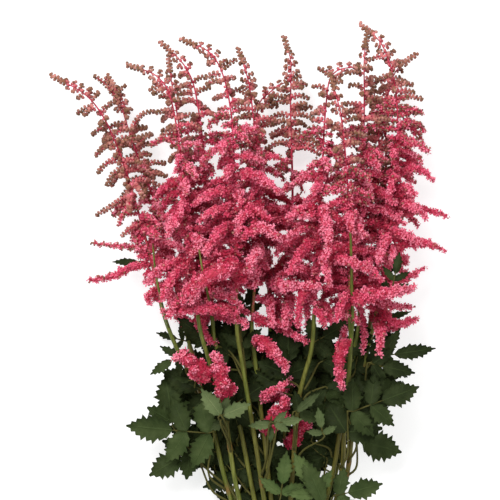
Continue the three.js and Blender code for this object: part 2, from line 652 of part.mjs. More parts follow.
/** The stalk's course of one leaf and its leaflets, each with its base, direction and length. */
function leafPlan(leaf) {
  const joint = vector(leaf.joint);
  const heading = radians(leaf.heading);
  const forward = new THREE.Vector3(Math.cos(heading), Math.sin(heading), 0);
  const side = new THREE.Vector3(-Math.sin(heading), Math.cos(heading), 0);
  const place = (ahead, aside, up) => joint.clone()
    .addScaledVector(forward, ahead)
    .addScaledVector(side, aside)
    .addScaledVector(UPRIGHT, up);
  const seat = rootOn(leaf, joint);
  const { root, along, away } = seat;
  const span = root.distanceTo(joint);
  const bend = root.clone().addScaledVector(away, 0.2 * span).addScaledVector(along, 0.3 * span);
  const behind = leaf.leaflets > 3 ? -BLADE.rearStep * leaf.size : 0;
  const stalk = new Path([root, bend, place(behind - 5, 0, 0), place(behind + 1, 0, 0)]);
  const spread = radians(leaf.spread ?? BLADE.spread);
  const ahead = leaf.leaflets > 1 ? BLADE.step * leaf.size : 0;
  const leaflets = [{ from: ahead, turn: 0, length: leaf.size }];
  for (const turn of leaf.leaflets > 1 ? [spread, -spread] : []) {
    leaflets.push({ from: 0, turn, length: BLADE.pairs * leaf.size });
  }
  for (const turn of leaf.leaflets > 3 ? [1.1 * spread, -1.1 * spread] : []) {
    leaflets.push({ from: behind, turn, length: BLADE.rearPair * leaf.size });
  }
  const colour = leaf.pale ? COLOURS.paleLeaf : COLOURS.leaf;
  return { leaflets, stalk, seat, behind, place, slim: leaf.slim ?? BLADE.slim, colour };
}

/** A leaf's blade: hubs along its rib, side leaflets on them and the end leaflet ahead. */
function bladeSolid({ leaflets, behind, place, slim }) {
  const plate = new LeafPlate();
  const [end, ...pairs] = leaflets;
  let hub = plate.hub(behind);
  for (let k = pairs.length - 2; k >= 0; k -= 2) {
    if (pairs[k].from > behind) {
      const next = plate.hub(pairs[k].from);
      plate.strip(hub.right, hub.left, next.backRight, next.backLeft);
      hub = next;
    }
    plate.leaflet(hub.left, hub.backLeft, pairs[k].from, pairs[k].turn, pairs[k].length, slim);
    plate.leaflet(hub.backRight, hub.right, pairs[k].from, pairs[k + 1].turn, pairs[k].length, slim);
  }
  let neck = [hub.right, hub.left];
  if (end.from > 0) {
    neck = [plate.point(end.from, -BLADE.neck), plate.point(end.from, BLADE.neck)];
    plate.strip(hub.right, hub.left, ...neck);
  }
  plate.leaflet(...neck, end.from, 0, end.length, slim);
  return plate.solid(place);
}

/** The stalk's solid: three flat sides, a little thicker at its root. */
function stalkSolid({ stalk, seat }) {
  const { radius, steps, taper } = STALK;
  const points = Array.from({ length: steps + 1 }, (_, k) => stalk.at((stalk.length * k) / steps));
  const radii = points.map((_, k) => radius * (1.1 - taper * k));
  return skinOf(ringsFrom(seat, points, radii, () => 0));
}

const leafPlans = LEAVES.map((leaf) => {
  const plan = { name: leaf.name, ...leafPlan(leaf) };
  const { stalk } = plan;
  const stalkPoints = [0, 0.33, 0.66, 1].map((share) => stalk.at(stalk.length * share));
  take(leaf.name, stalkPoints, stalkPoints.map(() => STALK.radius));
  for (const { from, turn, length } of plan.leaflets) {
    const half = 0.5 * plan.slim * length;
    for (const [shift, radius] of [[0, 0.4], [0.5, 0.3], [-0.5, 0.3]]) {
      const points = [0.12, 0.5, shift === 0 ? 1 : 0.72].map((share) => plan.place(
        from + Math.cos(turn) * share * length - Math.sin(turn) * shift * half,
        Math.sin(turn) * share * length + Math.cos(turn) * shift * half,
        -BLADE.arch * length * share * share));
      take(leaf.name, points, [radius * half, radius * half, 0.6 * radius * half]);
    }
  }
  return plan;
});

// ---------------------------------------------------------------- growing the flowers
SIDE_SPRAYS.forEach((plan, k) => {
  plan.seat = rootOn(plan, vector(plan.points[0]));
  plan.course = evenly([plan.seat.root, ...plan.points.map(vector)], SIDE_SPRAY_STEP);
  plan.radii = sprayRadii(plan.course.length - 1, plan.radius, STALK.radius);
  plan.radii[1] = Math.min(plan.radii[1], 0.45 * plan.radius);
  take(`side_spray_${k + 1}`, plan.course, plan.radii);
});

for (const plan of [...RESTING_SPRAYS, ...REACHING_SPRAYS]) {
  const flower = flowers[plan.plume - 1];
  const points = evenly([atHeight(flower.axis.points, plan.from), ...plan.points.map(vector)], SPRAY.step);
  const radii = sprayRadii(points.length - 1, plan.radius, SPRAY.sunk * AXIS.baseRadius);
  flower.sprays.push({ points, radii });
  take(owner.plume(plan.plume), points, radii);
}

/** Tries one spray at a distance from the tip, turning or shortening it until it stands clear. */
function growSpray(flower, fromTip, angle, chance) {
  const distance = flower.path.length - fromTip;
  const share = (distance - flower.base) / (flower.path.length - CATKIN.length - flower.base);
  const root = onAxis(flower, share);
  const along = flower.path.direction(distance);
  const rootRadius = SPRAY.sunk * THREE.MathUtils.lerp(AXIS.baseRadius, AXIS.tipRadius, clamp(share, 0, 1));
  const open = clamp((fromTip - 45) / 90, 0, 1);
  const radius = THREE.MathUtils.lerp(SPRAY.slim, SPRAY.full, open) * (0.9 + 0.2 * chance());
  const length = Math.min(4 + SPRAY.reach * fromTip, SPRAY.longest) * (0.85 + 0.3 * chance());
  const rise = THREE.MathUtils.lerp(0.55, 0.3, open);
  const droop = THREE.MathUtils.lerp(0.35, 0.62, open) * (0.7 + 0.6 * chance());
  for (const shorter of SHORTER) {
    for (const turn of TURNS) {
      const points = sprayCourse(root, along, radians(angle + turn), length * shorter, rise, droop, radius);
      const radii = sprayRadii(points.length - 1, radius, rootRadius);
      const tip = points[points.length - 1];
      if (insideOutline(tip) && isClear(owner.plume(flower.number), points, radii)) {
        flower.sprays.push({ points, radii });
        take(owner.plume(flower.number), points, radii);
        return;
      }
    }
  }
}

const chance = draws(20417);
const growth = [];
for (const flower of flowers) {
  let fromTip = SPRAY.first;
  let turn = 360 * chance();
  const longest = flower.path.length - flower.base - 6;
  while (fromTip < longest) {
    growth.push({ flower, fromTip, turn });
    turn += GOLDEN;
    fromTip += SPRAY.gap + SPRAY.gapGrowth * (fromTip - SPRAY.first);
  }
}
growth.sort((a, b) => a.fromTip - b.fromTip || a.flower.number - b.flower.number);
for (const { flower, fromTip, turn } of growth) {
  growSpray(flower, fromTip, turn, chance);
}

// ---------------------------------------------------------------- the pieces
function stemSolid(flower) {
  const { points, radii } = flower.stem;
  const rings = points.map((point, k) => (
    ringAt(point, UP_THE_BUNCH, UPRIGHT, radii[k], STEM.sides, STEM_TURN)));
  return skinOf(rings);
}

function plumeSolid(flower) {
  const { axis, catkin } = flower;
  const axisRings = axis.points.map((point, k) => {
    const heading = k ? headingAt(axis.points, k) : UP_THE_BUNCH;
    return ringAt(point, heading, UPRIGHT, axis.radii[k], AXIS.sides, AXIS.turn);
  });
  const solids = [skinOf(axisRings), spraySolid(catkin.points, catkin.radii, UPRIGHT)];
  for (const { points, radii } of flower.sprays) {
    solids.push(spraySolid(points, radii, UP_THE_BUNCH));
  }
  return joined(solids);
}

function sideSpraySolid(plan) {
  const rings = ringsFrom(plan.seat, plan.course, plan.radii, (k) => k * Math.PI / 3);
  return joined([skinOf(rings.slice(0, -1), plan.course[plan.course.length - 1])]);
}

function leafSolid(plan) {
  return joined([stalkSolid(plan), bladeSolid(plan)]);
}

/** The elastic band: a strip round the outermost stems, drawn tight at the four corners. */
function bandGeometry() {
  const corners = [[0, 5], [2, 3], [2, 0], [0, 0]].map(([row, place]) => placeInTie({ row, place }));
  const outline = (radius, Kind) => {
    const path = new Kind();
    const turns = [[-90, 30], [30, 90], [90, 150], [150, 270]];
    corners.forEach(({ x, z }, k) => {
      path.absarc(x, z, radius, radians(turns[k][0]), radians(turns[k][1]), false);
    });
    return path;
  };
  const inner = STEM.footRadius + SEAT;
  const shape = outline(inner + TIE.wall, THREE.Shape);
  shape.holes.push(outline(inner, THREE.Path));
  const options = { depth: 2 * TIE.half, bevelEnabled: false, curveSegments: 2 };
  const strip = new THREE.ExtrudeGeometry(shape, options);
  strip.rotateX(Math.PI / 2);
  strip.translate(0, TIE.y + TIE.half, 0);
  return strip;
}

function geometryOf(solid) {
  const { vertProperties, triVerts } = solid.getMesh();
  const geometry = new THREE.BufferGeometry();
  geometry.setAttribute('position', new THREE.Float32BufferAttribute(vertProperties, 3));
  geometry.setIndex(Array.from(triVerts));
  geometry.computeVertexNormals();
  return geometry;
}

const bunch = new THREE.Group();

function addPiece(name, geometry, colour, roughness) {
  const material = new THREE.MeshStandardMaterial({ color: colour, roughness, metalness: 0 });
  const mesh = new THREE.Mesh(geometry, material);
  mesh.name = name;
  bunch.add(mesh);
}

addPiece('band', bandGeometry(), COLOURS.band, 0.6);
for (const flower of flowers) {
  addPiece(owner.stem(flower.number), geometryOf(stemSolid(flower)), COLOURS.stem, 0.5);
  addPiece(owner.plume(flower.number), geometryOf(plumeSolid(flower)), COLOURS.plume, 0.8);
}
SIDE_SPRAYS.forEach((plan, k) => {
  addPiece(`side_spray_${k + 1}`, geometryOf(sideSpraySolid(plan)), COLOURS.sideSpray, 0.8);
});
for (const plan of leafPlans) {
  addPiece(plan.name, geometryOf(leafSolid(plan)), plan.colour, 0.55);
}

const box = new THREE.Box3().setFromObject(bunch);
const middle = box.getCenter(new THREE.Vector3());
bunch.position.set(-middle.x, -middle.y, -box.min.z);

export default bunch;
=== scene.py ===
"""A florist's bunch of cut astilbe, lying on a table, held by one elastic band.

The board frame has x across the bunch, y from the cut ends to the plume tips and z up from the table,
all in millimetres. Meshes are in metres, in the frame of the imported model.
"""
import json
import math

import bpy
import numpy as np
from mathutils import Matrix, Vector
from mathutils.kdtree import KDTree

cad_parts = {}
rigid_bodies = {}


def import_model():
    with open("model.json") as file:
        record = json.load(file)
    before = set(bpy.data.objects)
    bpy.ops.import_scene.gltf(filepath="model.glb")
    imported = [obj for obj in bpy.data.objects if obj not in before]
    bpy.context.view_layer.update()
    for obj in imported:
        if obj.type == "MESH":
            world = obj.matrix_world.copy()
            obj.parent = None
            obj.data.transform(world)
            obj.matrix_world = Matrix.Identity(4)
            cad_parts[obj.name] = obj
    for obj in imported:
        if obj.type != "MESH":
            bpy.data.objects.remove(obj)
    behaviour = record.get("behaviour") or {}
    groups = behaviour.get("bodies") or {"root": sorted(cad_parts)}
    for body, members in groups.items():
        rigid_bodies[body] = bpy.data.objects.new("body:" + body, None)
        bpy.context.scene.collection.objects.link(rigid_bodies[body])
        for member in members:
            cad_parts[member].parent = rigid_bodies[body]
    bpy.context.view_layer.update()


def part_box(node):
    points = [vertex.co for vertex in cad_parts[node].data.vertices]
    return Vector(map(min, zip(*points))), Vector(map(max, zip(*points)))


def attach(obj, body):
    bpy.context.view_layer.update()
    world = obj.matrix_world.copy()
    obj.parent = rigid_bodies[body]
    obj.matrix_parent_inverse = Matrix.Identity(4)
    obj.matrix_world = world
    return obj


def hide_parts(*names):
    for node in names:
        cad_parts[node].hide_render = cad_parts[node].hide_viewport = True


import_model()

# ---------------------------------------------------------------- driving sizes, in millimetres
MM = 0.001
TABLE_GAP = 0.3        # below the lowest flowers and leaves
SEAT = 0.3             # between a stalk's root and its carrier
CLEAR = 0.4            # between the main sprays of different plumes
TIE_X = 282            # middle of the elastic band
TIE_Y = 72
TIE_HALF = 3.5         # half its width
TIE_WALL = 1.6
TIE_STRAIGHT = 13      # how far the stems run straight on either side of the tie
TIE_SPLAY = 1.35       # how much wider than in the tie the cut ends stand
STEM_CUT = 8           # mean height of the cut ends
STEM_CUT_SPREAD = 3
STEM_FOOT = 2.7        # radius in the tie
STEM_TOP = 2.1         # radius below the plume
STEM_SIDES = 6
STEM_PACKING = 0.35    # between the stems in the tie
STEM_LEVELS = [TIE_Y + TIE_STRAIGHT, 130, 200, 270, 335]
STEM_LAST_GAP = 12     # least distance between the last of these levels and the stem's top
STEM_ROUND_SIDES = 12  # of the stem that is seen, where every other side is drawn in
STEM_RIDGE = 0.05      # by this share of the radius
KNOT_HALF = 9          # half the length of a swelling where a leaf leaves its stem
KNOT_SWELL = 0.16      # share of the radius that it adds

AXIS_BASE = 1.8        # radius of a plume's axis at its foot
AXIS_TIP = 0.9
AXIS_STEP = 33
AXIS_SIDES = 3
AXIS_TURN = 0.5
AXIS_SEEN_BASE = 1.65  # radius of the round axis that is seen
AXIS_SEEN_TIP = 0.5
CATKIN_LENGTH = 40     # the end of a plume, which bears no side sprays
CATKIN_RADIUS = 4.0
CATKIN_STEP = 6.2
CATKIN_SWAY = 1.5

SPRAY_FIRST = 43       # distance of the first side spray from the plume tip
SPRAY_GAP = 10.5       # distance to the next one, near the tip
SPRAY_GAP_GROWTH = 0.05
SPRAY_ABOVE_FOOT = 6   # how far above a plume's foot its last spray leaves it
SPRAY_SHORTEST = 4
SPRAY_REACH = 0.25     # what is added to its length for each millimetre from the tip
SPRAY_LONGEST = 62
SPRAY_SLIM = 4.2       # radius in bud, near the tip
SPRAY_FULL = 7.4       # radius in open flower
SPRAY_STEP = 9.5
SPRAY_SUNK = 0.8       # root radius for each millimetre of the axis's
SPRAY_FLATTEN = 0.8    # how much less the sprays spread up and down than to the sides
SPRAY_PRESSED = 0.45   # share of its radius that a spray keeps above the table
SPRAY_OPENS_FROM = 45  # distance from the tip where the sprays begin to fill out
SPRAY_OPENS_OVER = 90
SIDE_SPRAY_STEP = 6.4
GOLDEN = 137.5         # degrees from one spray to the next round its axis
TURNS = [0, 16, -16, 32, -32, 50, -50, 72, -72, 100, -100]    # tried until a spray stands clear
SHORTER = [1, 0.8, 0.62]
CEILING = 152
STALK = 1.15           # radius of a leaf's stalk

BLADE_THICK = 0.5
BLADE_FOLD = 0.2       # how steeply a leaflet's halves rise from its rib
BLADE_ARCH = 0.18
BLADE_SLIM = 0.58      # width for each millimetre of length
BLADE_SPREAD = 62      # degrees between the end leaflet and the next pair
BLADE_PAIRS = 0.8      # length of the pair next to the end leaflet, as a share of its length
BLADE_REAR_PAIR = 0.84
BLADE_STEP = 0.3       # how far along the rib they stand apart, as shares of that length
BLADE_REAR_STEP = 0.5
BLADE_REAR_TURN = 1.1  # how much further the rear pair is turned than the one before it
BLADE_COLUMNS = [-1, -0.55, 0, 0.55, 1]    # lines of points from edge to edge
BLADE_TEETH = [(0.74, 1.18), (0.86, 1.02)]    # share of the half width at each tooth's notch and point
LEAF_LAYERS = ("along", "across", "under", "pale", "fresh", "stalk")

FLORET_SPACING = 3.1   # between open flowers on a spray
FLORET_LENGTH = 2.7    # of one petal
OPEN_SHAPES = 3        # how many shapes of open flower there are, and of bud
BUD_SHAPES = 2
BUD_LENGTH = 3.4
BUD_STEP = 1.75        # between the pairs of buds along a spray in bud, left and right in turn
LOW_SPRAY_PLUMP = [1.6, 1.6, 1.5, 1.6, 1.7, 1.6, 1.15]     # how much thicker than their solids they open
LUMP_HEIGHT = 0.25     # how much an open spray swells and narrows along its length
LUMP_LENGTH = 13
BLOOM_FIRST = 62       # distance from the plume tip where the first flowers are open
BLOOM_FULL = 165       # distance where nearly all are
LATE_PLUMES = {1: 60, 2: 30, 4: 15, 8: 25, 14: 15}    # plumes that open so much further down
BETWEEN_FIRST = 49     # distance from the tip of the first of the finer sprays between the main ones
BETWEEN_GAP = 7.0
FINE_FIRST = 46        # distances from the tip between which the finest sprays grow, left and right
FINE_LAST = 112
FINE_GAP = 5.0
FINE_PLUMES = {2: 58, 8: 50, 10: 66, 11: 66, 14: 66, 15: 66}    # where they begin on those that have them
TUFT_FIRST = 88        # distance from the tip of the first short tuft on a plume's axis
TUFT_GAP = 4.4
TUFT_ABOVE_FOOT = 4
TUFT_LENGTH = 11
TUFT_RADIUS = 5.2
LOBE_FIRST = 4.5       # distance along an open spray of the first lobe on it
LOBE_GAP = 4.6
LOBE_HEIGHT = 0.68     # share of the spray's radius that a lobe stands out
CROWD_STEP = 3.0       # between the balls that stand for a spray where its neighbours are counted
CROWD_REACH = 17       # how far off a neighbour still shades a flower
CROWD_NEAR = 6         # how far off the middle of a ball may lie that buries a flower
VISIBLE_TOP = 129      # no flower reaches higher above the table
TIP_ROW = 17           # length of the blunt row of buds at a plume's end
TIP_ROW_STEP = 1.7
TIP_CLUSTER_GAP = 4.4  # between the clusters below it
PLUME_HEIGHT = 280     # over which the sprays' middles change their colour
BARE_FIRST = 28        # distances from the tip between which no bud covers the plume's own axis
BARE_LAST = 135
BARE_WIDTH = 1.35
END_GLOW = 0.7         # painted light and shade: how much paler a spray's end is painted than its darker foot
LOW_END_GLOW = 0.9     # the same for the sprays low on the stems
FACE_PAINTED_LIGHT = 0.42       # painted light: how much paler the sprays on the face of the bunch are painted than the others
UNSEEN_BELOW = 0.8     # share of the flowers left out under a spray, and in the midst of the bunch
UNSEEN_WITHIN = 0.2
FRONT_FOOT = 24        # how far down its stem a stalk over the flowers begins
FRONT_NEAR = 4         # how far to either side the flowers that it lies on are looked for
FRONT_LIFT = 1         # how far above them it lies

# Seeds of the draws: one for each round of growth, and the first of a run for plumes and low sprays.
MAIN_SEED = 20417
BETWEEN_SEED = 7331
FINE_SEED = 60613
TUFT_SEED = 419
LOBE_SEED = 52
SHAPE_SEED = 5
LEAF_SEED = 61
LEAF_ROW_SEED = 88
PLUME_SEEDS = 900
LOW_SPRAY_SEEDS = 1900
LOW_SPRAY_TURNS = 50

# Rows of leaves under and between the rows of stems: for each row of stems that they lie below, where
# they start, and their height above the table there and at the upper end.
LEAF_ROWS = [(160, 8, 10), (163, 21, 31), (286, 44, 52)]
LEAFY_TO = 366
LEAF_ROW_STEP = 6.5
LEAF_TRIES = 5
# Gaps that the finer sprays leave open: x, y and radius.
OPEN_GAPS = np.array([
    [243, 404, 7], [252, 396, 7], [240, 436, 6], [280, 440, 4], [264, 408, 4], [281, 469, 4],
    [276, 543, 8], [307, 543, 6], [275, 516, 8], [303, 515, 7], [258, 499, 4], [286, 500, 4],
    [167, 537, 9], [296, 398, 3],
])

# Edge of the leaves grown by rule: y, leftmost x, rightmost x.
LEAFY_OUTLINE = [
    [150, 222, 350], [200, 206, 366], [215, 196, 352], [230, 182, 344], [245, 162, 348],
    [262, 140, 372], [292, 134, 404], [312, 150, 406], [335, 164, 404], [352, 160, 414], [386, 178, 400],
]

# Outline that side sprays grown by rule stay inside: y, leftmost x, rightmost x.
OUTLINE = [
    [355, 172, 385], [380, 160, 396], [410, 146, 408], [440, 124, 418],
    [480, 112, 428], [520, 104, 434], [560, 60, 430], [700, 40, 440],
]

# Each flower stem: its row and place in the tie, the points its stem passes above the tie, and the
# points its plume's axis passes from the lowest spray to the tip.
FLOWER_STEMS = [
    [1, 0, [[230, 200, 27], [207, 290, 36], [177, 350, 46]],
     [[161, 394, 52], [148, 452, 56], [120, 546, 58], [92, 599, 60], [51, 625, 60]]],
    [0, 0, [[233, 200, 15], [214, 270, 18], [196, 330, 22]],
     [[181, 384, 25], [160, 478, 27], [129, 566, 27], [117, 606, 27], [106, 627, 28]]],
    [2, 0, [[239, 200, 39], [224, 288, 52], [209, 340, 66]],
     [[198, 385, 78], [186, 500, 90], [174, 590, 90], [159, 621, 88], [128, 634, 86]]],
    [0, 1, [[248, 200, 16], [233, 280, 20], [217, 340, 25]],
     [[204, 385, 29], [190, 500, 31], [176, 590, 31], [170, 625, 33], [168, 646, 35]]],
    [1, 1, [[254, 200, 27], [237, 284, 37], [218, 346, 48]],
     [[212, 384, 54], [208, 500, 62], [198, 594, 62], [186, 632, 62], [160, 658, 62]]],
    [2, 1, [[264, 200, 38], [251, 284, 54], [240, 350, 72]],
     [[237, 378, 80], [235, 500, 97], [231, 588, 98], [215, 640, 94], [182, 659, 90]]],
    [1, 2, [[271, 200, 27], [261, 290, 37], [254, 350, 48]],
     [[252, 376, 54], [260, 500, 63], [252, 595, 62], [246, 628, 60], [238, 652, 58]]],
    [0, 3, [[286, 200, 15], [286, 290, 19], [289, 350, 24]],
     [[291, 384, 27], [293, 500, 32], [291, 590, 32], [291, 640, 34], [284, 665, 36]]],
    [0, 2, [[278, 200, 15], [272, 290, 18], [270, 350, 23]],
     [[270, 384, 26], [264, 500, 28], [257, 586, 26], [272, 611, 28], [300, 626, 28]]],
    [1, 4, [[342, 200, 27], [355, 280, 38], [368, 350, 49]],
     [[376, 384, 54], [394, 500, 61], [397, 594, 62], [384, 651, 62], [360, 676, 62]]],
    [1, 3, [[328, 200, 27], [344, 290, 38], [355, 350, 48]],
     [[360, 392, 55], [362, 500, 65], [364, 590, 66], [364, 640, 66], [367, 668, 66]]],
    [2, 2, [[291, 200, 39], [299, 300, 57], [311, 350, 72]],
     [[314, 392, 82], [320, 500, 96], [325, 592, 94], [334, 626, 90], [369, 632, 86]]],
    [2, 3, [[337, 200, 39], [345, 280, 54], [350, 350, 72]],
     [[349, 392, 82], [347, 500, 98], [341, 574, 99], [334, 606, 99], [329, 624, 99]]],
    [0, 5, [[331, 200, 16], [348, 280, 21], [365, 350, 27]],
     [[374, 392, 30], [386, 500, 32], [388, 594, 31], [397, 630, 33], [418, 648, 34]]],
    [0, 4, [[314, 200, 14], [329, 290, 20], [342, 350, 25]],
     [[352, 392, 28], [377, 520, 42], [379, 576, 42], [375, 608, 42], [371, 624, 42]]],
]

# Sprays on the underside that the bunch rests on: their plume, the height on its axis that they leave
# from, their radius and the points they pass to the tip.
RESTING_SPRAYS = [
    [2, 562, 5.5, [[134, 562, 11], [142, 560, 1.6], [152, 558, 1.6]]],
    [2, 432, 6.5, [[177, 436, 11], [185, 437, 2], [195, 437, 2]]],
    [4, 500, 6.5, [[194, 502, 12], [202, 503, 2], [212, 503, 2]]],
    [9, 470, 7.5, [[273, 472, 11], [282, 473, 2], [294, 473, 2]]],
    [8, 560, 5.5, [[297, 562, 12], [305, 563, 1.6], [315, 563, 1.6]]],
    [14, 540, 5.5, [[382, 539, 12], [374, 538, 1.6], [364, 538, 1.6]]],
    [14, 440, 6.5, [[374, 441, 12], [366, 441, 2], [356, 441, 2]]],
]

# Sprays that stand out at the edges and on the face of the bunch, given in the same way.
REACHING_SPRAYS = [
    [1, 560, 4, [[103, 552, 64], [96, 544, 66]]],
    [1, 533, 4, [[113, 526, 62], [107, 515, 64]]],
    [1, 507, 4.2, [[114, 496, 54], [96, 485, 48]]],
    [1, 478, 6, [[130, 471, 64], [122, 464, 68]]],
    [1, 452, 4.2, [[118, 454, 46], [90, 457, 42]]],
    [1, 434, 6, [[135, 434, 62], [110, 423, 64], [87, 419, 62]]],
    [1, 404, 5, [[148, 406, 62], [150, 396, 74]]],
    [10, 572, 4, [[408, 577, 66], [421, 576, 68]]],
    [10, 550, 4.4, [[411, 548, 65], [423, 537, 66]]],
    [10, 526, 5, [[418, 532, 61], [434, 519, 60]]],
    [10, 505, 6.4, [[404, 514, 74], [415, 503, 80]]],
    [10, 482, 5.4, [[420, 491, 58], [449, 483, 56]]],
    [10, 448, 6.2, [[416, 458, 62], [445, 450, 64]]],
    [10, 416, 5, [[404, 420, 46], [427, 433, 42]]],
    [10, 396, 6.4, [[392, 378, 68], [417, 381, 72]]],
    [11, 408, 6.4, [[385, 396, 73], [413, 393, 76]]],
    [13, 402, 8, [[380, 411, 94], [415, 412, 94]]],
    [6, 412, 10, [[236, 436, 110], [212, 428, 118], [190, 412, 118], [184, 396, 112]]],
    [6, 388, 7.4, [[214, 392, 98], [188, 391, 104], [164, 388, 100]]],
    [6, 462, 7, [[246, 466, 116], [262, 470, 122], [277, 463, 120]]],
    [6, 430, 8, [[250, 430, 108], [252, 444, 118]]],
    [12, 420, 7, [[303, 410, 104], [298, 392, 110], [297, 374, 106]]],
    [13, 448, 8, [[330, 452, 116], [322, 440, 124]]],
]

# Slim sprays in bud round the tips of two plumes, given in the same way.
TIP_SPRAYS = [
    [2, 598, 4, [[110, 611, 32], [100, 621, 34], [93, 625, 34]]],
    [2, 592, 4, [[116, 603, 33], [119, 612, 36], [124, 616, 36]]],
    [2, 604, 4, [[108, 616, 30], [104, 624, 30]]],
    [2, 566, 4, [[134, 578, 36], [144, 588, 40], [153, 590, 40]]],
    [2, 548, 4, [[140, 560, 36], [150, 566, 38]]],
    [7, 600, 4, [[240, 610, 64], [228, 607, 66]]],
]

# Soft sprays that hang below the plumes, between the stems, given in the same way.
HANGING_SPRAYS = [
    [1, 410, 6, [[168, 412, 66], [171, 402, 70], [169, 394, 70]]],
    [2, 386, 7, [[184, 378, 40], [196, 371, 44], [210, 369, 46]]],
    [3, 387, 7, [[203, 370, 56], [209, 360, 52], [217, 356, 50]]],
    [12, 400, 7, [[322, 396, 78], [329, 386, 80], [331, 376, 78]]],
    [15, 398, 7, [[340, 392, 34], [332, 385, 38], [322, 379, 40]]],
    [9, 392, 7, [[284, 385, 34], [294, 375, 38], [301, 366, 38]]],
    [13, 396, 6, [[352, 384, 80], [358, 376, 80]]],
    [5, 404, 6.5, [[216, 408, 84], [230, 402, 90], [243, 394, 90]]],
    [5, 388, 8, [[228, 384, 72], [240, 380, 80], [248, 374, 82]]],
    [7, 384, 7, [[262, 378, 62], [277, 377, 68], [293, 377, 66]]],
    [9, 386, 7, [[278, 376, 50], [292, 366, 64], [308, 358, 68]]],
    [12, 404, 6.5, [[306, 398, 50], [308, 386, 48], [308, 373, 46]]],
    [12, 394, 6, [[318, 388, 92], [323, 380, 92], [324, 373, 88]]],
    [13, 398, 9, [[340, 392, 96], [343, 384, 96]]],
    [15, 394, 7, [[346, 378, 44], [344, 366, 50], [343, 358, 50]]],
    [11, 394, 4, [[364, 372, 56], [363, 346, 58]]],
    [9, 300, 6.5, [[265, 304, 56], [275, 311, 64], [288, 319, 70]]],
    [14, 394, 6, [[384, 374, 42], [396, 372, 52], [415, 381, 54]]],
    [14, 394, 7.5, [[379, 374, 62], [380, 361, 80], [377, 346, 82]]],
]

# Full sprays on the face of the bunch, painted pale as painted light, given in the same way.
FACE_SPRAYS = [
    [3, 462, 8, [[198, 461, 98], [201, 456, 106], [193, 444, 106]]],
    [6, 436, 10.5, [[228, 431, 119], [212, 426, 124], [199, 414, 122], [191, 399, 114]]],
    [7, 492, 9, [[252, 489, 104], [240, 480, 116], [239, 463, 119]]],
    [7, 476, 8.5, [[256, 473, 112], [266, 471, 124], [281, 459, 122]]],
    [7, 450, 9, [[257, 447, 106], [252, 439, 120], [245, 427, 119]]],
    [9, 420, 9, [[284, 414, 92], [302, 415, 107], [319, 413, 108]]],
    [12, 490, 9, [[322, 488, 108], [326, 472, 117], [327, 448, 122]]],
    [12, 484, 7.5, [[310, 484, 110], [297, 483, 117]]],
    [12, 446, 8.5, [[334, 443, 108], [350, 438, 115], [368, 429, 114]]],
    [13, 398, 10, [[364, 404, 103], [384, 408, 109], [410, 411, 105]]],
]

# The lists of sprays that lie on the others, how far each is open and how much paler it is painted, as
# painted light.
OVERLYING_SPRAYS = [(HANGING_SPRAYS, 1.0, 0.0), (TIP_SPRAYS, 0.0, 0.0), (FACE_SPRAYS, 1.0, FACE_PAINTED_LIGHT)]

# Short flower sprays low on the stems: their stem, the height they leave it at, and as above.
SIDE_SPRAYS = [
    [3, 318, 8.5, [[203, 325, 72], [193, 338, 82], [178, 347, 86]]],
    [3, 298, 8, [[224, 306, 68], [223, 318, 78], [220, 332, 80], [216, 348, 80]]],
    [7, 352, 7, [[259, 360, 64], [273, 348, 72], [288, 331, 74]]],
    [9, 292, 6.5, [[277, 302, 30], [284, 312, 40], [292, 323, 46]]],
    [7, 262, 8.5, [[270, 274, 48], [280, 286, 60], [287, 302, 66]]],
    [8, 246, 7, [[292, 256, 28], [301, 270, 36], [312, 285, 40]]],
    [13, 352, 7.5, [[343, 358, 88], [338, 340, 94], [341, 312, 90]]],
]

# Stalks that run over the flowers: the stem they leave, half their width, and where they run.
FRONT_STALKS = [
    [13, 1.9, [[352, 378], [351.5, 390], [351, 404], [350.5, 418],
               [350, 432], [349.5, 446], [349, 460], [348, 474]]],
    [1, 1.4, [[163, 396], [160.5, 408], [158, 420], [156, 432], [154.5, 444], [153, 456]]],
    [5, 1.4, [[208, 408], [206, 418], [204, 428], [202, 438], [200, 450]]],
]


def leaf(name, carrier, start, joint, heading, size, leaflets, **more):
    """One leaf: its carrier and the height it leaves it at, the joint of its leaflets, its heading in
    degrees, the length of the end leaflet, the count of leaflets, and what differs from the usual."""
    return dict(name=name, carrier=carrier, start=start, joint=joint, heading=heading, size=size,
                leaflets=leaflets, **more)


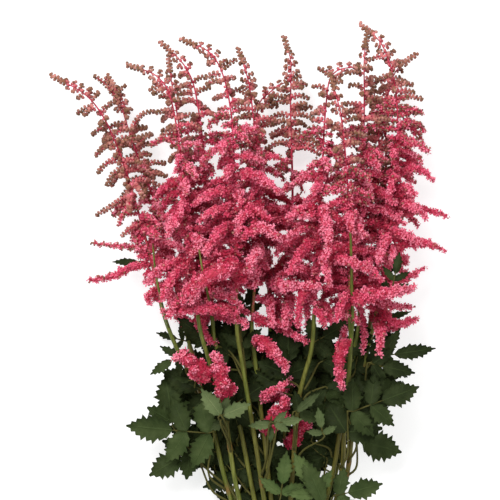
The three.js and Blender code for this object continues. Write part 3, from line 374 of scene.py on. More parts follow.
LEAVES = [
    leaf("leaf_upper_left", ("plume", 1), 424, [137, 438, 38], 180, 26, 1, slim=0.3),
    leaf("leaf_left_lance", ("stem", 2), 346, [182, 358, 12], 164, 22, 3, slim=0.36),
    leaf("leaf_left_olive", ("stem", 1), 322, [178, 344, 58], 214, 26, 3, slim=0.4),
    leaf("leaf_left_short", ("stem", 1), 307, [190, 319, 47], 178, 24, 1, slim=0.34),
    leaf("leaf_big_left", ("stem", 1), 208, [186, 268, 50], 175, 47, 5, fresh=0.25),
    leaf("leaf_back_left", ("stem", 2), 190, [208, 250, 10], 96, 44, 3),
    leaf("leaf_pale_left", ("stem", 3), 252, [225, 280, 66], 130, 22, 3, spread=84, pale=0.25),
    leaf("leaf_pale_middle", ("stem", 6), 216, [271, 279, 76], -92, 16, 3, spread=84, pale=0.2, slim=0.45),
    leaf("leaf_middle_right", ("stem", 12), 262, [299, 288, 74], 40, 28, 3),
    leaf("leaf_big_right", ("stem", 10), 236, [370, 296, 76], 20, 40, 5),
    leaf("leaf_inner_right", ("stem", 12), 300, [326, 308, 50], -96, 34, 3),
    leaf("leaf_right_lance", ("stem", 10), 330, [382, 344, 62], 8, 42, 3, slim=0.36, spread=48),
    leaf("leaf_right_ovate", ("stem", 10), 222, [363, 257, 36], -16, 42, 1, slim=0.72),
    leaf("leaf_low_right", ("stem", 13), 176, [338, 204, 52], 14, 36, 3, fresh=0.3),
    leaf("leaf_low_middle", ("stem", 6), 168, [281, 206, 54], 82, 33, 3, fresh=1, slim=0.47),
    leaf("leaf_low_bright", ("stem", 12), 166, [316, 206, 63], 118, 36, 3, fresh=1, slim=0.47),
    leaf("leaf_upper_right", ("stem", 14), 378, [390, 422, 12], 66, 18, 5, slim=0.36),
    leaf("leaf_right_slim", ("stem", 14), 356, [386, 381, 32], 14, 28, 1, slim=0.26),
    leaf("leaf_centre_small", ("stem", 5), 322, [243, 334, 42], 72, 18, 3),
    leaf("leaf_back_middle", ("stem", 4), 196, [252, 240, 10], 100, 44, 3),
    leaf("leaf_back_right", ("stem", 8), 226, [306, 270, 10], 74, 42, 3),
]

# More leaves of the stems, that lie over those between the stems.
OVERLAPPING_LEAVES = [
    leaf("", ("stem", 1), 214, [172, 277, 44], 98, 37, 3, slim=0.72, spread=52, fresh=0.2),
    leaf("", ("stem", 1), 196, [190, 248, 34], 212, 38, 3, slim=0.66, spread=50, fresh=0.1),
    leaf("", ("stem", 3), 196, [214, 246, 30], 150, 40, 3, slim=0.66, spread=56, fresh=0.12),
    leaf("", ("stem", 3), 262, [221, 286, 84], 127, 33, 1, slim=0.52, pale=0.8),
    leaf("", ("stem", 3), 256, [223, 286, 82], 22, 30, 1, slim=0.5, pale=0.8),
    leaf("", ("stem", 3), 248, [222, 282, 78], 74, 24, 1, slim=0.5, pale=0.35),
    leaf("", ("stem", 6), 224, [274, 278, 84], 8, 22, 3, slim=0.46, spread=36, pale=0.8),
    leaf("", ("stem", 6), 212, [272, 277, 82], 184, 24, 1, slim=0.42, pale=0.7),
    leaf("", ("stem", 12), 236, [322, 268, 82], 100, 20, 3, slim=0.48, spread=74, pale=0.55),
    leaf("", ("stem", 12), 250, [296, 290, 84], 38, 30, 1, slim=0.32, pale=0.4),
    leaf("", ("stem", 6), 350, [243, 386, 42], 66, 30, 3, slim=0.42, spread=38),
    leaf("", ("stem", 12), 176, [323, 198, 70], 114, 50, 1, slim=0.4, fresh=0.45),
    leaf("", ("stem", 10), 214, [346, 268, 66], 64, 46, 3, slim=0.78, spread=58),
    leaf("", ("stem", 13), 232, [352, 290, 70], 30, 44, 3, slim=0.72, spread=48),
    leaf("", ("stem", 10), 306, [372, 336, 66], -12, 34, 3, slim=0.5, spread=46),
    leaf("", ("plume", 10), 400, [392, 420, 100], 78, 22, 5, slim=0.42, spread=50),
    leaf("", ("stem", 6), 318, [243, 352, 58], 96, 34, 3, slim=0.44, spread=50),
    leaf("", ("stem", 8), 300, [300, 332, 40], 60, 38, 3, slim=0.5, spread=54),
]


# ---------------------------------------------------------------- small helpers
UPRIGHT = np.array([0.0, 0.0, 1.0])
UP_THE_BUNCH = np.array([0.0, 1.0, 0.0])


def unit(v):
    return v / np.linalg.norm(v)


def lerp(a, b, share):
    return a + (b - a) * share


def clamp(value, low, high):
    return min(max(value, low), high)


def nearest(value):
    """Rounds to a whole number, halves upwards."""
    return int(math.floor(value + 0.5))


def draws(seed):
    """Seeded draws from 0 to 1."""
    state = seed
    while True:
        state = (state * 1664525 + 1013904223) % 2 ** 32
        yield state / 2 ** 32


class Path:
    """A smooth path through points, measured along its length."""

    PER_SPAN = 12

    def __init__(self, points):
        points = np.array(points, float)
        ends = np.vstack([2 * points[0] - points[1], points, 2 * points[-1] - points[-2]])
        t = np.arange(self.PER_SPAN)[:, None] / self.PER_SPAN
        rows = []
        for before, a, b, after in zip(ends, ends[1:], ends[2:], ends[3:]):
            leave = 0.5 * (b - before)
            arrive = 0.5 * (after - a)
            rows.append(a + leave * t + (3 * b - 3 * a - 2 * leave - arrive) * t ** 2
                        + (2 * a - 2 * b + leave + arrive) * t ** 3)
        self.samples = np.vstack([*rows, points[-1:]])
        steps = np.linalg.norm(np.diff(self.samples, axis=0), axis=1)
        self.travelled = np.concatenate([[0], np.cumsum(steps)])
        self.length = self.travelled[-1]

    def at(self, distance):
        wanted = clamp(distance, 0, self.length)
        k = clamp(int(np.searchsorted(self.travelled, wanted)), 1, len(self.travelled) - 1)
        before, after = self.travelled[k - 1:k + 1]
        return lerp(self.samples[k - 1], self.samples[k], (wanted - before) / (after - before))

    def direction(self, distance):
        return unit(self.at(distance + 2) - self.at(distance - 2))

    def reach_of(self, index):
        return self.travelled[index * self.PER_SPAN]


def round_about(path, place, angle):
    """The direction along a path at a place, and the one square to it at an angle round it."""
    heading = path.direction(place)
    across = unit(np.cross(heading, UPRIGHT)) if abs(heading[2]) < 0.95 else UP_THE_BUNCH
    return heading, across * math.cos(angle) + np.cross(across, heading) * math.sin(angle)


def stretch_at(points, y, column=1):
    """Which straight stretch between climbing points holds height y, and how far along it that is."""
    k = 1
    while k < len(points) - 1 and points[k][column] < y:
        k += 1
    return k, (y - points[k - 1][column]) / (points[k][column] - points[k - 1][column])


def at_height(points, y):
    k, share = stretch_at(points, y)
    return lerp(points[k - 1], points[k], share)


def table_at(table, y, column):
    """A value read off a table of [y, a, b] rows, straight between them."""
    k, share = stretch_at(table, y, 0)
    return lerp(table[k - 1][column], table[k][column], clamp(share, 0, 1))


def within(table, point):
    """Whether a point lies inside the edges of a table of [y, leftmost x, rightmost x] rows."""
    x, y, _ = point
    return table[0][0] < y < table[-1][0] and table_at(table, y, 1) < x < table_at(table, y, 2)


def ring_at(centre, direction, reference, radius, sides, turn=0.0):
    """One ring of points round a centre, square to a direction."""
    across = unit(np.cross(reference, direction))
    over = np.cross(direction, across)
    angles = turn + 2 * math.pi * np.arange(sides) / sides
    return centre + radius * (np.cos(angles)[:, None] * across + np.sin(angles)[:, None] * over)


def evenly(points, step):
    """Evenly spaced points along a smooth path through a few given ones."""
    path = Path(points)
    count = max(3, nearest(path.length / step))
    return np.array([path.at(path.length * k / count) for k in range(count + 1)])


# ---------------------------------------------------------------- who stands where
class Room:
    """Every round stretch placed so far: two ends, a radius and its owner."""

    def __init__(self):
        self.rows = []
        self.owners = []
        self.table = None

    def take(self, owner, points, radii):
        for a, b, ra, rb in zip(points, points[1:], radii, radii[1:]):
            self.rows.append([*a, *b, max(ra, rb)])
            self.owners.append(owner)
        self.table = None

    def stretches(self):
        if self.table is None:
            self.table = np.array(self.rows), np.array(self.owners)
        return self.table

    def is_clear(self, owner, points, radii, own_share, other_share, gap):
        """Whether a row of points keeps its distance from what was placed before."""
        rows, owners = self.stretches()
        middle = points.mean(axis=0)
        reach = np.linalg.norm(points - middle, axis=1).max() + max(radii)
        centre = (rows[:, 0:3] + rows[:, 3:6]) / 2
        half = np.linalg.norm(rows[:, 3:6] - rows[:, 0:3], axis=1) / 2
        near = np.linalg.norm(centre - middle, axis=1) < half + rows[:, 6] + reach + gap + 1
        rows, owners = rows[near], owners[near]
        own = owners == owner
        for k in range(len(points) - 1):
            radius = max(radii[k], radii[k + 1])
            touching = radius + rows[:, 6]
            wanted = np.where(own, own_share * touching, other_share * touching + gap)
            skipped = own & ((k == 0) | (rows[:, 6] < SPRAY_SLIM))
            short = gaps_between(points[k], points[k + 1], rows[:, 0:3], rows[:, 3:6]) < wanted
            if np.any(short & ~skipped):
                return False
        return True


def gaps_between(a, b, c, d):
    """Least distances between one straight stretch a-b and many others c-d."""
    u = b - a
    v = d - c
    w = a - c
    uu = u @ u
    vv = (v * v).sum(axis=1)
    uv = v @ u
    uw = w @ u
    vw = (v * w).sum(axis=1)
    spread = uu * vv - uv * uv
    slanted = spread > 1e-9
    s = np.where(slanted, np.clip((uv * vw - vv * uw) / np.where(slanted, spread, 1), 0, 1), 0)
    t = (uv * s + vw) / vv
    s = np.where(t < 0, np.clip(-uw / uu, 0, 1), np.where(t > 1, np.clip((uv - uw) / uu, 0, 1), s))
    t = np.clip(t, 0, 1)
    return np.linalg.norm(w + s[:, None] * u - t[:, None] * v, axis=1)


room = Room()


# ---------------------------------------------------------------- courses of stems and plumes
def place_in_tie(row, place):
    """Centre of one stem in the tie, where the stems lie in a honeycomb."""
    pitch = 2 * STEM_FOOT * math.cos(math.pi / 6) + STEM_PACKING
    in_row = sum(1 for other in FLOWER_STEMS if other[0] == row)
    x = TIE_X + (place - (in_row - 1) / 2) * pitch
    z = TIE_WALL + SEAT + STEM_FOOT + row * pitch * math.sin(math.pi / 3)
    return x, z


class Flower:
    """One flower stem with its plume."""

    def __init__(self, number, row, place, stem, axis):
        x, z = place_in_tie(row, place)
        self.number = number
        self.name = f"{number:02d}"
        self.owner = f"plume {number}"
        self.cut = STEM_CUT + STEM_CUT_SPREAD * math.sin(2.4 * (number - 1))
        splay = TIE_X + TIE_SPLAY * (x - TIE_X)
        points = [[splay, self.cut, z], [x, TIE_Y - TIE_STRAIGHT, z], [x, TIE_Y + TIE_STRAIGHT, z],
                  *stem, *axis]
        self.path = Path(points)
        self.base = self.path.reach_of(len(points) - len(axis))
        self.base_level = axis[0][1]
        self.sprays = []
        self.lay_out_stem()
        self.lay_out_axis()
        self.lay_out_catkin()

    def lay_out_stem(self):
        top = self.base_level - SEAT
        between = [y for y in STEM_LEVELS if y < top - STEM_LAST_GAP]
        levels = [self.cut, TIE_Y - TIE_STRAIGHT, *between, top]
        self.stem = np.array([at_height(self.path.samples, y) for y in levels])
        self.stem_radii = [self.stem_radius(y) for y in levels]
        room.take(f"stem {self.number}", self.stem, self.stem_radii)

    def lay_out_axis(self):
        end = self.path.length - CATKIN_LENGTH
        steps = max(4, nearest((end - self.base) / AXIS_STEP))
        shares = np.arange(steps + 1) / steps
        self.axis = np.array([self.path.at(self.base + (end - self.base) * share) for share in shares])
        self.axis_radii = [lerp(AXIS_BASE, AXIS_TIP, share) for share in shares]
        room.take(self.owner, self.axis, self.axis_radii)

    def lay_out_catkin(self):
        steps = nearest(CATKIN_LENGTH / CATKIN_STEP)
        start = self.path.length - CATKIN_LENGTH
        points = []
        radii = []
        for k in range(steps + 1):
            distance = start + CATKIN_LENGTH * k / steps
            side = unit(np.cross(self.path.direction(distance), UPRIGHT))
            sway = 0 if k in (0, steps) else CATKIN_SWAY * (1 if k % 2 else -1)
            points.append(self.path.at(distance) + side * sway)
            radii.append(AXIS_TIP if k == 0 else CATKIN_RADIUS * (1 - 0.45 * k / steps))
        room.take(self.owner, np.array(points), radii)

    def stem_radius(self, y):
        above = TIE_Y + TIE_STRAIGHT
        return lerp(STEM_FOOT, STEM_TOP, clamp((y - above) / (self.base_level - above), 0, 1))

    def on_axis(self, share):
        """The point of the plume's axis, as its straight stretches run, at a share of its length."""
        place = clamp(share, 0, 1) * (len(self.axis) - 1)
        k = min(int(place), len(self.axis) - 2)
        return lerp(self.axis[k], self.axis[k + 1], place - k)


flowers = [Flower(k + 1, *plan) for k, plan in enumerate(FLOWER_STEMS)]


def seat_on(carrier, start, towards):
    """Where a stalk leaves its carrier towards a point, a seat's gap off the carrier's surface."""
    kind, number = carrier
    flower = flowers[number - 1]
    on_stem = kind == "stem"
    points, radii = (flower.stem, flower.stem_radii) if on_stem else (flower.axis, flower.axis_radii)
    k, share = stretch_at(points, start)
    centre = lerp(points[k - 1], points[k], share)
    radius = lerp(radii[k - 1], radii[k], share)
    along = unit(points[k] - points[k - 1])
    away = towards - centre
    away = unit(away - along * (away @ along))
    if on_stem:
        corners = ring_at(np.zeros(3), UP_THE_BUNCH, UPRIGHT, radius, STEM_SIDES, math.pi / STEM_SIDES)
    else:
        corners = ring_at(np.zeros(3), along, UPRIGHT, radius, AXIS_SIDES, AXIS_TURN)
    return centre + away * ((corners @ away).max() + SEAT), along, away


# ---------------------------------------------------------------- leaves laid out
class LeafPlan:
    """The stalk's course of one leaf, and its leaflets as (base, turn, length)."""

    def __init__(self, name, carrier, start, joint, heading, size, leaflets, slim=BLADE_SLIM,
                 spread=BLADE_SPREAD, pale=0.0, fresh=0.0, arch=BLADE_ARCH):
        self.name = name
        self.slim = slim
        self.pale = pale
        self.fresh = fresh
        self.arch = arch
        self.carrier = carrier
        self.joint = np.array(joint, float)
        angle = math.radians(heading)
        self.forward = np.array([math.cos(angle), math.sin(angle), 0])
        self.side = np.array([-math.sin(angle), math.cos(angle), 0])
        root, self.along, self.away = seat_on(carrier, start, self.joint)
        span = np.linalg.norm(self.joint - root)
        bend = root + self.away * 0.2 * span + self.along * 0.3 * span
        self.behind = -BLADE_REAR_STEP * size if leaflets > 3 else 0
        self.stalk = Path([root, bend, self.place(self.behind - 5, 0, 0), self.place(self.behind + 1, 0, 0)])
        turn = math.radians(spread)
        self.leaflets = [(BLADE_STEP * size if leaflets > 1 else 0, 0, size)]
        if leaflets > 1:
            self.leaflets += [(0, turn, BLADE_PAIRS * size), (0, -turn, BLADE_PAIRS * size)]
        if leaflets > 3:
            length = BLADE_REAR_PAIR * size
            self.leaflets += [(self.behind, BLADE_REAR_TURN * turn, length),
                              (self.behind, -BLADE_REAR_TURN * turn, length)]

    def place(self, ahead, aside, up):
        return self.joint + self.forward * ahead + self.side * aside + UPRIGHT * up

    def take_room(self):
        """Takes the stalk's room, and each leaflet's as a row along its rib and one on either side."""
        stalk = [self.stalk.at(self.stalk.length * share) for share in (0, 0.33, 0.66, 1)]
        room.take(self.name, stalk, [STALK] * 4)
        for base, turn, length in self.leaflets:
            half = 0.5 * self.slim * length
            for shift, radius in ((0, 0.4), (0.5, 0.3), (-0.5, 0.3)):
                points = [self.place(base + math.cos(turn) * share * length - math.sin(turn) * shift * half,
                                     math.sin(turn) * share * length + math.cos(turn) * shift * half,
                                     -BLADE_ARCH * length * share * share)
                          for share in (0.12, 0.5, 0.72 if shift else 1)]
                room.take(self.name, points, [radius * half, radius * half, 0.6 * radius * half])

    def tips(self):
        return [self.place(base + math.cos(turn) * length, math.sin(turn) * length, 0)
                for base, turn, length in self.leaflets]


leaf_plans = [LeafPlan(**plan) for plan in LEAVES]
for plan in leaf_plans:
    plan.take_room()


def leaf_between_stems(carriers, height, y, chance):
    """A leaf's plan, carried by one of the given stems, with its joint at a height y."""
    flower = carriers[int(next(chance) * len(carriers))]
    start = y - 18 - 10 * next(chance)
    side = 1 if next(chance) < 0.5 else -1
    joint = [at_height(flower.stem, start)[0] + side * (4 + 18 * next(chance)), y, height]
    heading = 90 - side * (100 * next(chance) - 10)
    size = 30 + 22 * next(chance)
    # fresh below 0 keeps most of these lower leaves in the dark colour: painted shade under the stems
    return LeafPlan("", ("stem", flower.number), start, joint, heading, size, 3,
                    slim=0.46 + 0.14 * next(chance), arch=0.06, spread=50 + 24 * next(chance), fresh=-0.2)


def leaves_between_stems(chance):
    """Plans of the leaves that lie under and between the rows of stems, one set for each row."""
    plans = []
    for row, (first, low, high) in enumerate(LEAF_ROWS):
        carriers = [flower for flower, plan in zip(flowers, FLOWER_STEMS) if plan[0] == row]
        for y in np.arange(first, LEAFY_TO, LEAF_ROW_STEP):
            height = lerp(low, high, (y - first) / (LEAFY_TO - first))
            for _ in range(LEAF_TRIES):
                plan = leaf_between_stems(carriers, height, y, chance)
                if all(within(LEAFY_OUTLINE, tip) for tip in plan.tips()):
                    plans.append(plan)
                    break
    return plans


between_plans = [*leaves_between_stems(draws(LEAF_ROW_SEED)),
                 *[LeafPlan(**plan) for plan in OVERLAPPING_LEAVES]]


# ---------------------------------------------------------------- sprays laid out
def spray_radii(n, radius, root):
    """Radii along a spray of n steps: a slim root, a full body and a narrowing end."""
    radii = [radius * (1 - 0.5 * (k / n) ** 2) * min(1, 0.72 + 0.28 * k) for k in range(n + 1)]
    return [root, *radii[1:]]


class Spray:
    """One spray of flowers: its course, its radii, and how far it is open, from 0 to 1."""

    def __init__(self, points, radii, opened, root_share=0.0, painted_light=0.0):
        self.path = Path(points)
        # painted light: how much paler the spray is painted
        self.painted_light = painted_light
        self.radii = np.array(radii, float)
        self.knots = [self.path.reach_of(k) for k in range(len(points))]
        self.opened = opened
        self.root_share = root_share
        self.core_share = lerp(0.12, 0.62, clamp(opened * 1.8 - 0.25, 0, 1))
        self.lump = LUMP_HEIGHT * clamp(3 * opened - 0.9, 0, 1)
        self.lobes = []

    def radius_at(self, share):
        return float(np.interp(share * self.path.length, self.knots, self.radii))

    def core(self, share):
        """Radius of the solid middle at a share of the length."""
        wave = math.sin(2 * math.pi * share * self.path.length / LUMP_LENGTH + 7.3 * self.path.length)
        body = self.radius_at(share) * self.core_share * (1 + self.lump * wave)
        return max(0.45, body * min(1, 0.3 + 3 * max(0, share - self.root_share)) * (1 - 0.35 * share ** 4))


class Lobe(Spray):
    """A short side shoot of an open spray, solid to its whole radius."""

    def core(self, share):
        return self.radius_at(share)


def spray_course(root, along, angle, length, rise, droop, radius):
    """The course of a spray grown by rule from a plume's axis."""
    across = unit(np.cross(along, UPRIGHT))
    over = np.cross(across, along)
    out = across * math.cos(angle) + over * SPRAY_FLATTEN * math.sin(angle)
    steps = max(2, nearest(length / SPRAY_STEP))
    share = (np.arange(steps + 1) / steps)[:, None]
    points = root + out * length * share + along * length * (rise * share - droop * share * share)
    points[1:, 2] = np.clip(points[1:, 2], SPRAY_PRESSED * radius, CEILING - radius)
    return points


def leaves_gaps_open(points, radius):
    """Whether a row of points stays outside the gaps between the sprays."""
    far = np.hypot(points[:, 0:1] - OPEN_GAPS[:, 0], points[:, 1:2] - OPEN_GAPS[:, 1])
    return bool(np.all(far > OPEN_GAPS[:, 2] + radius))


def openness(from_tip):
    """How full a spray has grown at a distance from the plume's tip."""
    return clamp((from_tip - SPRAY_OPENS_FROM) / SPRAY_OPENS_OVER, 0, 1)


def in_bloom(flower, from_tip):
    """How far the flowers are open at a distance from the plume's tip."""
    late = LATE_PLUMES.get(flower.number, 0)
    return clamp((from_tip - BLOOM_FIRST - late) / (BLOOM_FULL - BLOOM_FIRST), 0, 1)


def grow_spray(flower, from_tip, angle, chance, fullness=1.0, own_share=0.92, other_share=1.0, gap=CLEAR):
    """Tries one spray at a distance from the tip, turning or shortening it until it stands clear."""
    distance = flower.path.length - from_tip
    share = (distance - flower.base) / (flower.path.length - CATKIN_LENGTH - flower.base)
    root = flower.on_axis(share)
    along = flower.path.direction(distance)
    root_radius = SPRAY_SUNK * lerp(AXIS_BASE, AXIS_TIP, clamp(share, 0, 1))
    opened = openness(from_tip)
    radius = fullness * lerp(SPRAY_SLIM, SPRAY_FULL, opened) * (0.9 + 0.2 * next(chance))
    length = fullness * min(SPRAY_SHORTEST + SPRAY_REACH * from_tip, SPRAY_LONGEST)
    length *= 0.85 + 0.3 * next(chance)
    rise = lerp(0.55, 0.3, opened)
    droop = lerp(0.35, 0.62, opened) * (0.7 + 0.6 * next(chance))
    for shorter in SHORTER:
        for turn in TURNS:
            points = spray_course(root, along, math.radians(angle + turn), length * shorter,
                                  rise, droop, radius)
            radii = spray_radii(len(points) - 1, radius, root_radius)
            if fullness < 1 and not leaves_gaps_open(points[1:], 0.6 * radius):
                continue
            if within(OUTLINE, points[-1]) and room.is_clear(
                    flower.owner, points, radii, own_share, other_share, gap):
                flower.sprays.append(Spray(points, radii, in_bloom(flower, from_tip)))
                room.take(flower.owner, points, radii)
                return


def places_on_plumes(chance, gap, first, last=math.inf):
    """Distances from the tip and turns of the sprays of every plume, nearest the tips first."""
    places = []
    for flower in flowers:
        from_tip = first
        turn = 360 * next(chance)
        while from_tip < min(last, flower.path.length - flower.base - SPRAY_ABOVE_FOOT):
            places.append((from_tip, flower.number, turn))
            turn += GOLDEN
            from_tip += gap + SPRAY_GAP_GROWTH * (from_tip - SPRAY_FIRST)
    return sorted(places, key=lambda place: place[:2])


side_sprays = []
for number, ((stem, start, radius, points), plump) in enumerate(zip(SIDE_SPRAYS, LOW_SPRAY_PLUMP), 1):
    root, along, away = seat_on(("stem", stem), start, np.array(points[0], float))
    course = evenly([root, *points], SIDE_SPRAY_STEP)
    radii = spray_radii(len(course) - 1, radius, STALK)
    radii[1] = min(radii[1], 0.45 * radius)
    room.take(f"side spray {number}", course, radii)
    side_sprays.append(Spray(course, [plump * radius for radius in radii], 1.0, root_share=0.1))

for plume, start, radius, points in [*RESTING_SPRAYS, *REACHING_SPRAYS]:
    flower = flowers[plume - 1]
    course = evenly([at_height(flower.axis, start), *points], SPRAY_STEP)
    radii = spray_radii(len(course) - 1, radius, SPRAY_SUNK * AXIS_BASE)
    flower.sprays.append(Spray(course, radii, in_bloom(flower, flower.path.samples[-1][1] - start)))
    room.take(flower.owner, course, radii)

chance = draws(MAIN_SEED)
for from_tip, number, turn in places_on_plumes(chance, SPRAY_GAP, SPRAY_FIRST):
    grow_spray(flowers[number - 1], from_tip, turn, chance)

# The finer sprays that fill in between the main ones may lie into their neighbours' edges.
chance = draws(BETWEEN_SEED)
for from_tip, number, turn in places_on_plumes(chance, BETWEEN_GAP, BETWEEN_FIRST):
    grow_spray(flowers[number - 1], from_tip, turn, chance, fullness=0.82,
               own_share=0.62, other_share=0.7, gap=0)

# The finest ones, near the tips, stand to the left and right in turn, where the plumes are in bud.
chance = draws(FINE_SEED)
for from_tip, number, _ in places_on_plumes(chance, FINE_GAP, FINE_FIRST, FINE_LAST):
    if from_tip < FINE_PLUMES.get(number, math.inf):
        continue
    side = 180 if int(from_tip / FINE_GAP + number) % 2 else 0
    grow_spray(flowers[number - 1], from_tip, side, chance, fullness=0.85,
               own_share=0.35, other_share=0.5, gap=0)


def grow_tufts(flower, chance):
    """Short tufts all round the lower part of a plume's axis, which hide it."""
    turn = 360 * next(chance)
    last = flower.path.length - flower.base - TUFT_ABOVE_FOOT
    for from_tip in np.arange(TUFT_FIRST, last, TUFT_GAP):
        distance = flower.path.length - from_tip
        turn += GOLDEN + 30 * next(chance)
        if math.sin(math.radians(turn)) < -0.4:
            turn = -turn
        root = flower.path.at(distance)
        length = TUFT_LENGTH * (0.7 + 0.7 * next(chance))
        radius = TUFT_RADIUS * (0.8 + 0.3 * next(chance))
        points = spray_course(root, flower.path.direction(distance), math.radians(turn), length,
                              0.4, 0.3, radius)
        radii = spray_radii(len(points) - 1, radius, AXIS_BASE)
        if leaves_gaps_open(points[1:], 0.5 * radius):
            flower.sprays.append(Spray(points, radii, in_bloom(flower, from_tip)))


for sprays, opened, painted_light in OVERLYING_SPRAYS:
    for plume, start, radius, points in sprays:
        flower = flowers[plume - 1]
        course = evenly([at_height(flower.path.samples, start), *points], SPRAY_STEP)
        radii = spray_radii(len(course) - 1, radius, AXIS_BASE)
        flower.sprays.append(Spray(course, radii, opened, painted_light=painted_light))


def grow_lobes(spray, chance):
    """Gives an open spray its short side shoots, left and right and all round it."""
    turn = 2 * math.pi * next(chance)
    first = LOBE_FIRST + spray.root_share * spray.path.length
    for place in np.arange(first, spray.path.length - 1.5, LOBE_GAP):
        turn += math.radians(GOLDEN) + 0.5 * next(chance)
        radius = spray.radius_at(place / spray.path.length)
        heading, outward = round_about(spray.path, place, turn)
        out = unit(outward + (0.35 + 0.5 * next(chance)) * heading)
        reach = radius * (LOBE_HEIGHT + 0.4 * next(chance)) + 0.8
        foot = spray.path.at(place)
        points = np.array([foot + out * reach * share for share in (0.1, 0.6, 1)])
        points[:, 2] = np.clip(points[:, 2], 0.4 * radius, VISIBLE_TOP - 2 - 0.4 * radius)
        if leaves_gaps_open(points[1:], 0):
            lobe = Lobe(points, [0.44 * radius, 0.38 * radius, 0.24 * radius], spray.opened)
            lobe.place = place / spray.path.length
            spray.lobes.append(lobe)


chance = draws(TUFT_SEED)
for flower in flowers:
    grow_tufts(flower, chance)
all_sprays = [*side_sprays, *[spray for flower in flowers for spray in flower.sprays]]
chance = draws(LOBE_SEED)
for spray in all_sprays:
    if spray.opened > 0.3:
        grow_lobes(spray, chance)


class Crowd:
    """All sprays and lobes as rows of balls: how closely they stand round a flower, which sets its
    painted shade, and whether one of them would bury it."""

    def __init__(self, bodies):
        centres = []
        radii = []
        owners = []
        for owner, body in enumerate(bodies):
            body.first = len(centres)
            body.balls = 2 + int(body.path.length / CROWD_STEP)
            body.owner = owner
            for share in np.linspace(0, 1, body.balls):
                centres.append(body.path.at(share * body.path.length))
                radii.append(body.core(share))
                owners.append(owner)
        self.centres = np.array(centres)
        self.radii = np.array(radii)
        self.owners = owners
        self.tree = KDTree(len(centres))
        for number, centre in enumerate(centres):
            self.tree.insert(centre, number)
        self.tree.balance()
        self.count_neighbours()

    def count_neighbours(self):
        """How closely each ball is surrounded, and which way most of its neighbours lie."""
        weight = self.radii ** 2
        squares = (self.centres ** 2).sum(axis=1)
        self.closeness = np.zeros(len(weight))
        self.towards = np.zeros_like(self.centres)
        block = 500
        for start in range(0, len(weight), block):
            rows = slice(start, start + block)
            gaps = squares[rows, None] + squares[None] - 2 * self.centres[rows] @ self.centres.T
            share = weight * np.clip(1 - gaps / CROWD_REACH ** 2, 0, 1)
            total = share.sum(axis=1)
            self.closeness[rows] = total
            self.towards[rows] = (share @ self.centres / total[:, None] - self.centres[rows]) / CROWD_REACH
        self.closeness /= np.quantile(self.closeness, 0.8)

    def depth_at(self, body, share, outward):
        """From 0 on the outside of the bunch to 1 in its midst: how much painted shade a flower gets."""
        ball = body.first + nearest(share * (body.balls - 1))
        return clamp(self.closeness[ball] * (0.6 + 2.4 * (outward @ self.towards[ball])), 0, 1)

    def buries(self, place, body):
        """Whether a place lies inside another body than the one given."""
        return any(self.owners[number] != body.owner and distance < self.radii[number]
                   for _, number, distance in self.tree.find_range(place, CROWD_NEAR))


crowd = Crowd([body for spray in all_sprays for body in (spray, *spray.lobes)])


# ---------------------------------------------------------------- meshes
band_low, band_high = (np.array(corner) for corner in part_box("band"))
BOARD = (band_low + band_high) / 2 / MM - np.array([TIE_X, TIE_Y, 0])
BOARD[2] = band_low[2] / MM


class Skin:
    """Collects closed surfaces on the board, and makes one mesh of them in metres."""

    def __init__(self, *layers):
        self.points = []
        self.faces = []
        self.count = 0
        self.layers = {name: [] for name in layers}

    def add(self, points, faces, **values):
        points = np.asarray(points, float)
        self.points.append(points)
        self.faces.extend([tuple(k + self.count for k in face) for face in faces])
        self.count += len(points)
        for name, rows in self.layers.items():
            rows.append(np.broadcast_to(np.asarray(values.get(name, 0.0), float), (len(points),)))

    def tube(self, points, radii, sides=6, **values):
        """A round skin along a course, closed at both ends."""
        points = np.asarray(points, float)
        headings = np.gradient(points, axis=0)
        reference = UPRIGHT if abs(unit(headings[0])[2]) < 0.8 else UP_THE_BUNCH
        rings = []
        for point, heading, radius in zip(points, headings, radii):
            heading = unit(heading)
            reference = unit(reference - heading * (reference @ heading))
            rings.append(ring_at(point, heading, reference, radius, sides))
        faces = tube_faces(len(rings), sides)
        spread = {name: np.repeat(value, sides) if np.ndim(value) else value
                  for name, value in values.items()}
        self.add(np.vstack(rings), faces, **spread)

    def mesh_of(self, name, points, smooth):
        mesh = bpy.data.meshes.new(name)
        mesh.from_pydata(points.tolist(), [], self.faces)
        for layer, rows in self.layers.items():
            mesh.attributes.new(layer, "FLOAT", "POINT").data.foreach_set("value", np.concatenate(rows))
        if smooth:
            mesh.shade_smooth()
        return mesh

    def mesh(self, name):
        points = (np.vstack(self.points) + BOARD) * MM
        points[:, 2] = np.maximum(points[:, 2], TABLE_GAP * MM)
        return self.mesh_of(name, points, True)

    def template(self, name, smooth=False):
        """A small shape to be repeated, one unit long, as an object that is not in the scene."""
        return bpy.data.objects.new(name, self.mesh_of(name, np.vstack(self.points), smooth))


def tube_faces(rings, sides):
    faces = []
    for ring in range(rings - 1):
        for k in range(sides):
            a = ring * sides + k
            b = ring * sides + (k + 1) % sides
            faces.append((a, b, b + sides, a + sides))
    last = (rings - 1) * sides
    faces.append(tuple(reversed(range(sides))))
    faces.append(tuple(last + k for k in range(sides)))
    return faces


def show(mesh, slot, *nodes, materials=()):
    """Adds a finished piece that stands for its nodes."""
    for material in materials:
        mesh.materials.append(material)
    piece = bpy.data.objects.new(mesh.name, mesh)
    bpy.context.scene.collection.objects.link(piece)
    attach(piece, "root")
    if nodes:
        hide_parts(*nodes)


# ---------------------------------------------------------------- materials
def feed(tree, socket, value):
    """Gives a socket a constant, or a link from another socket."""
    if isinstance(value, bpy.types.NodeSocket):
        tree.links.new(value, socket)
    else:
        socket.default_value = value


def add_node(tree, kind, given, **settings):
    """A node with its settings, and with what is given to its inputs, by their names or numbers."""
    node = tree.nodes.new(kind)
    for key, value in settings.items():
        setattr(node, key, value)
    for socket, value in given.items():
        feed(tree, node.inputs[socket], value)
    return node


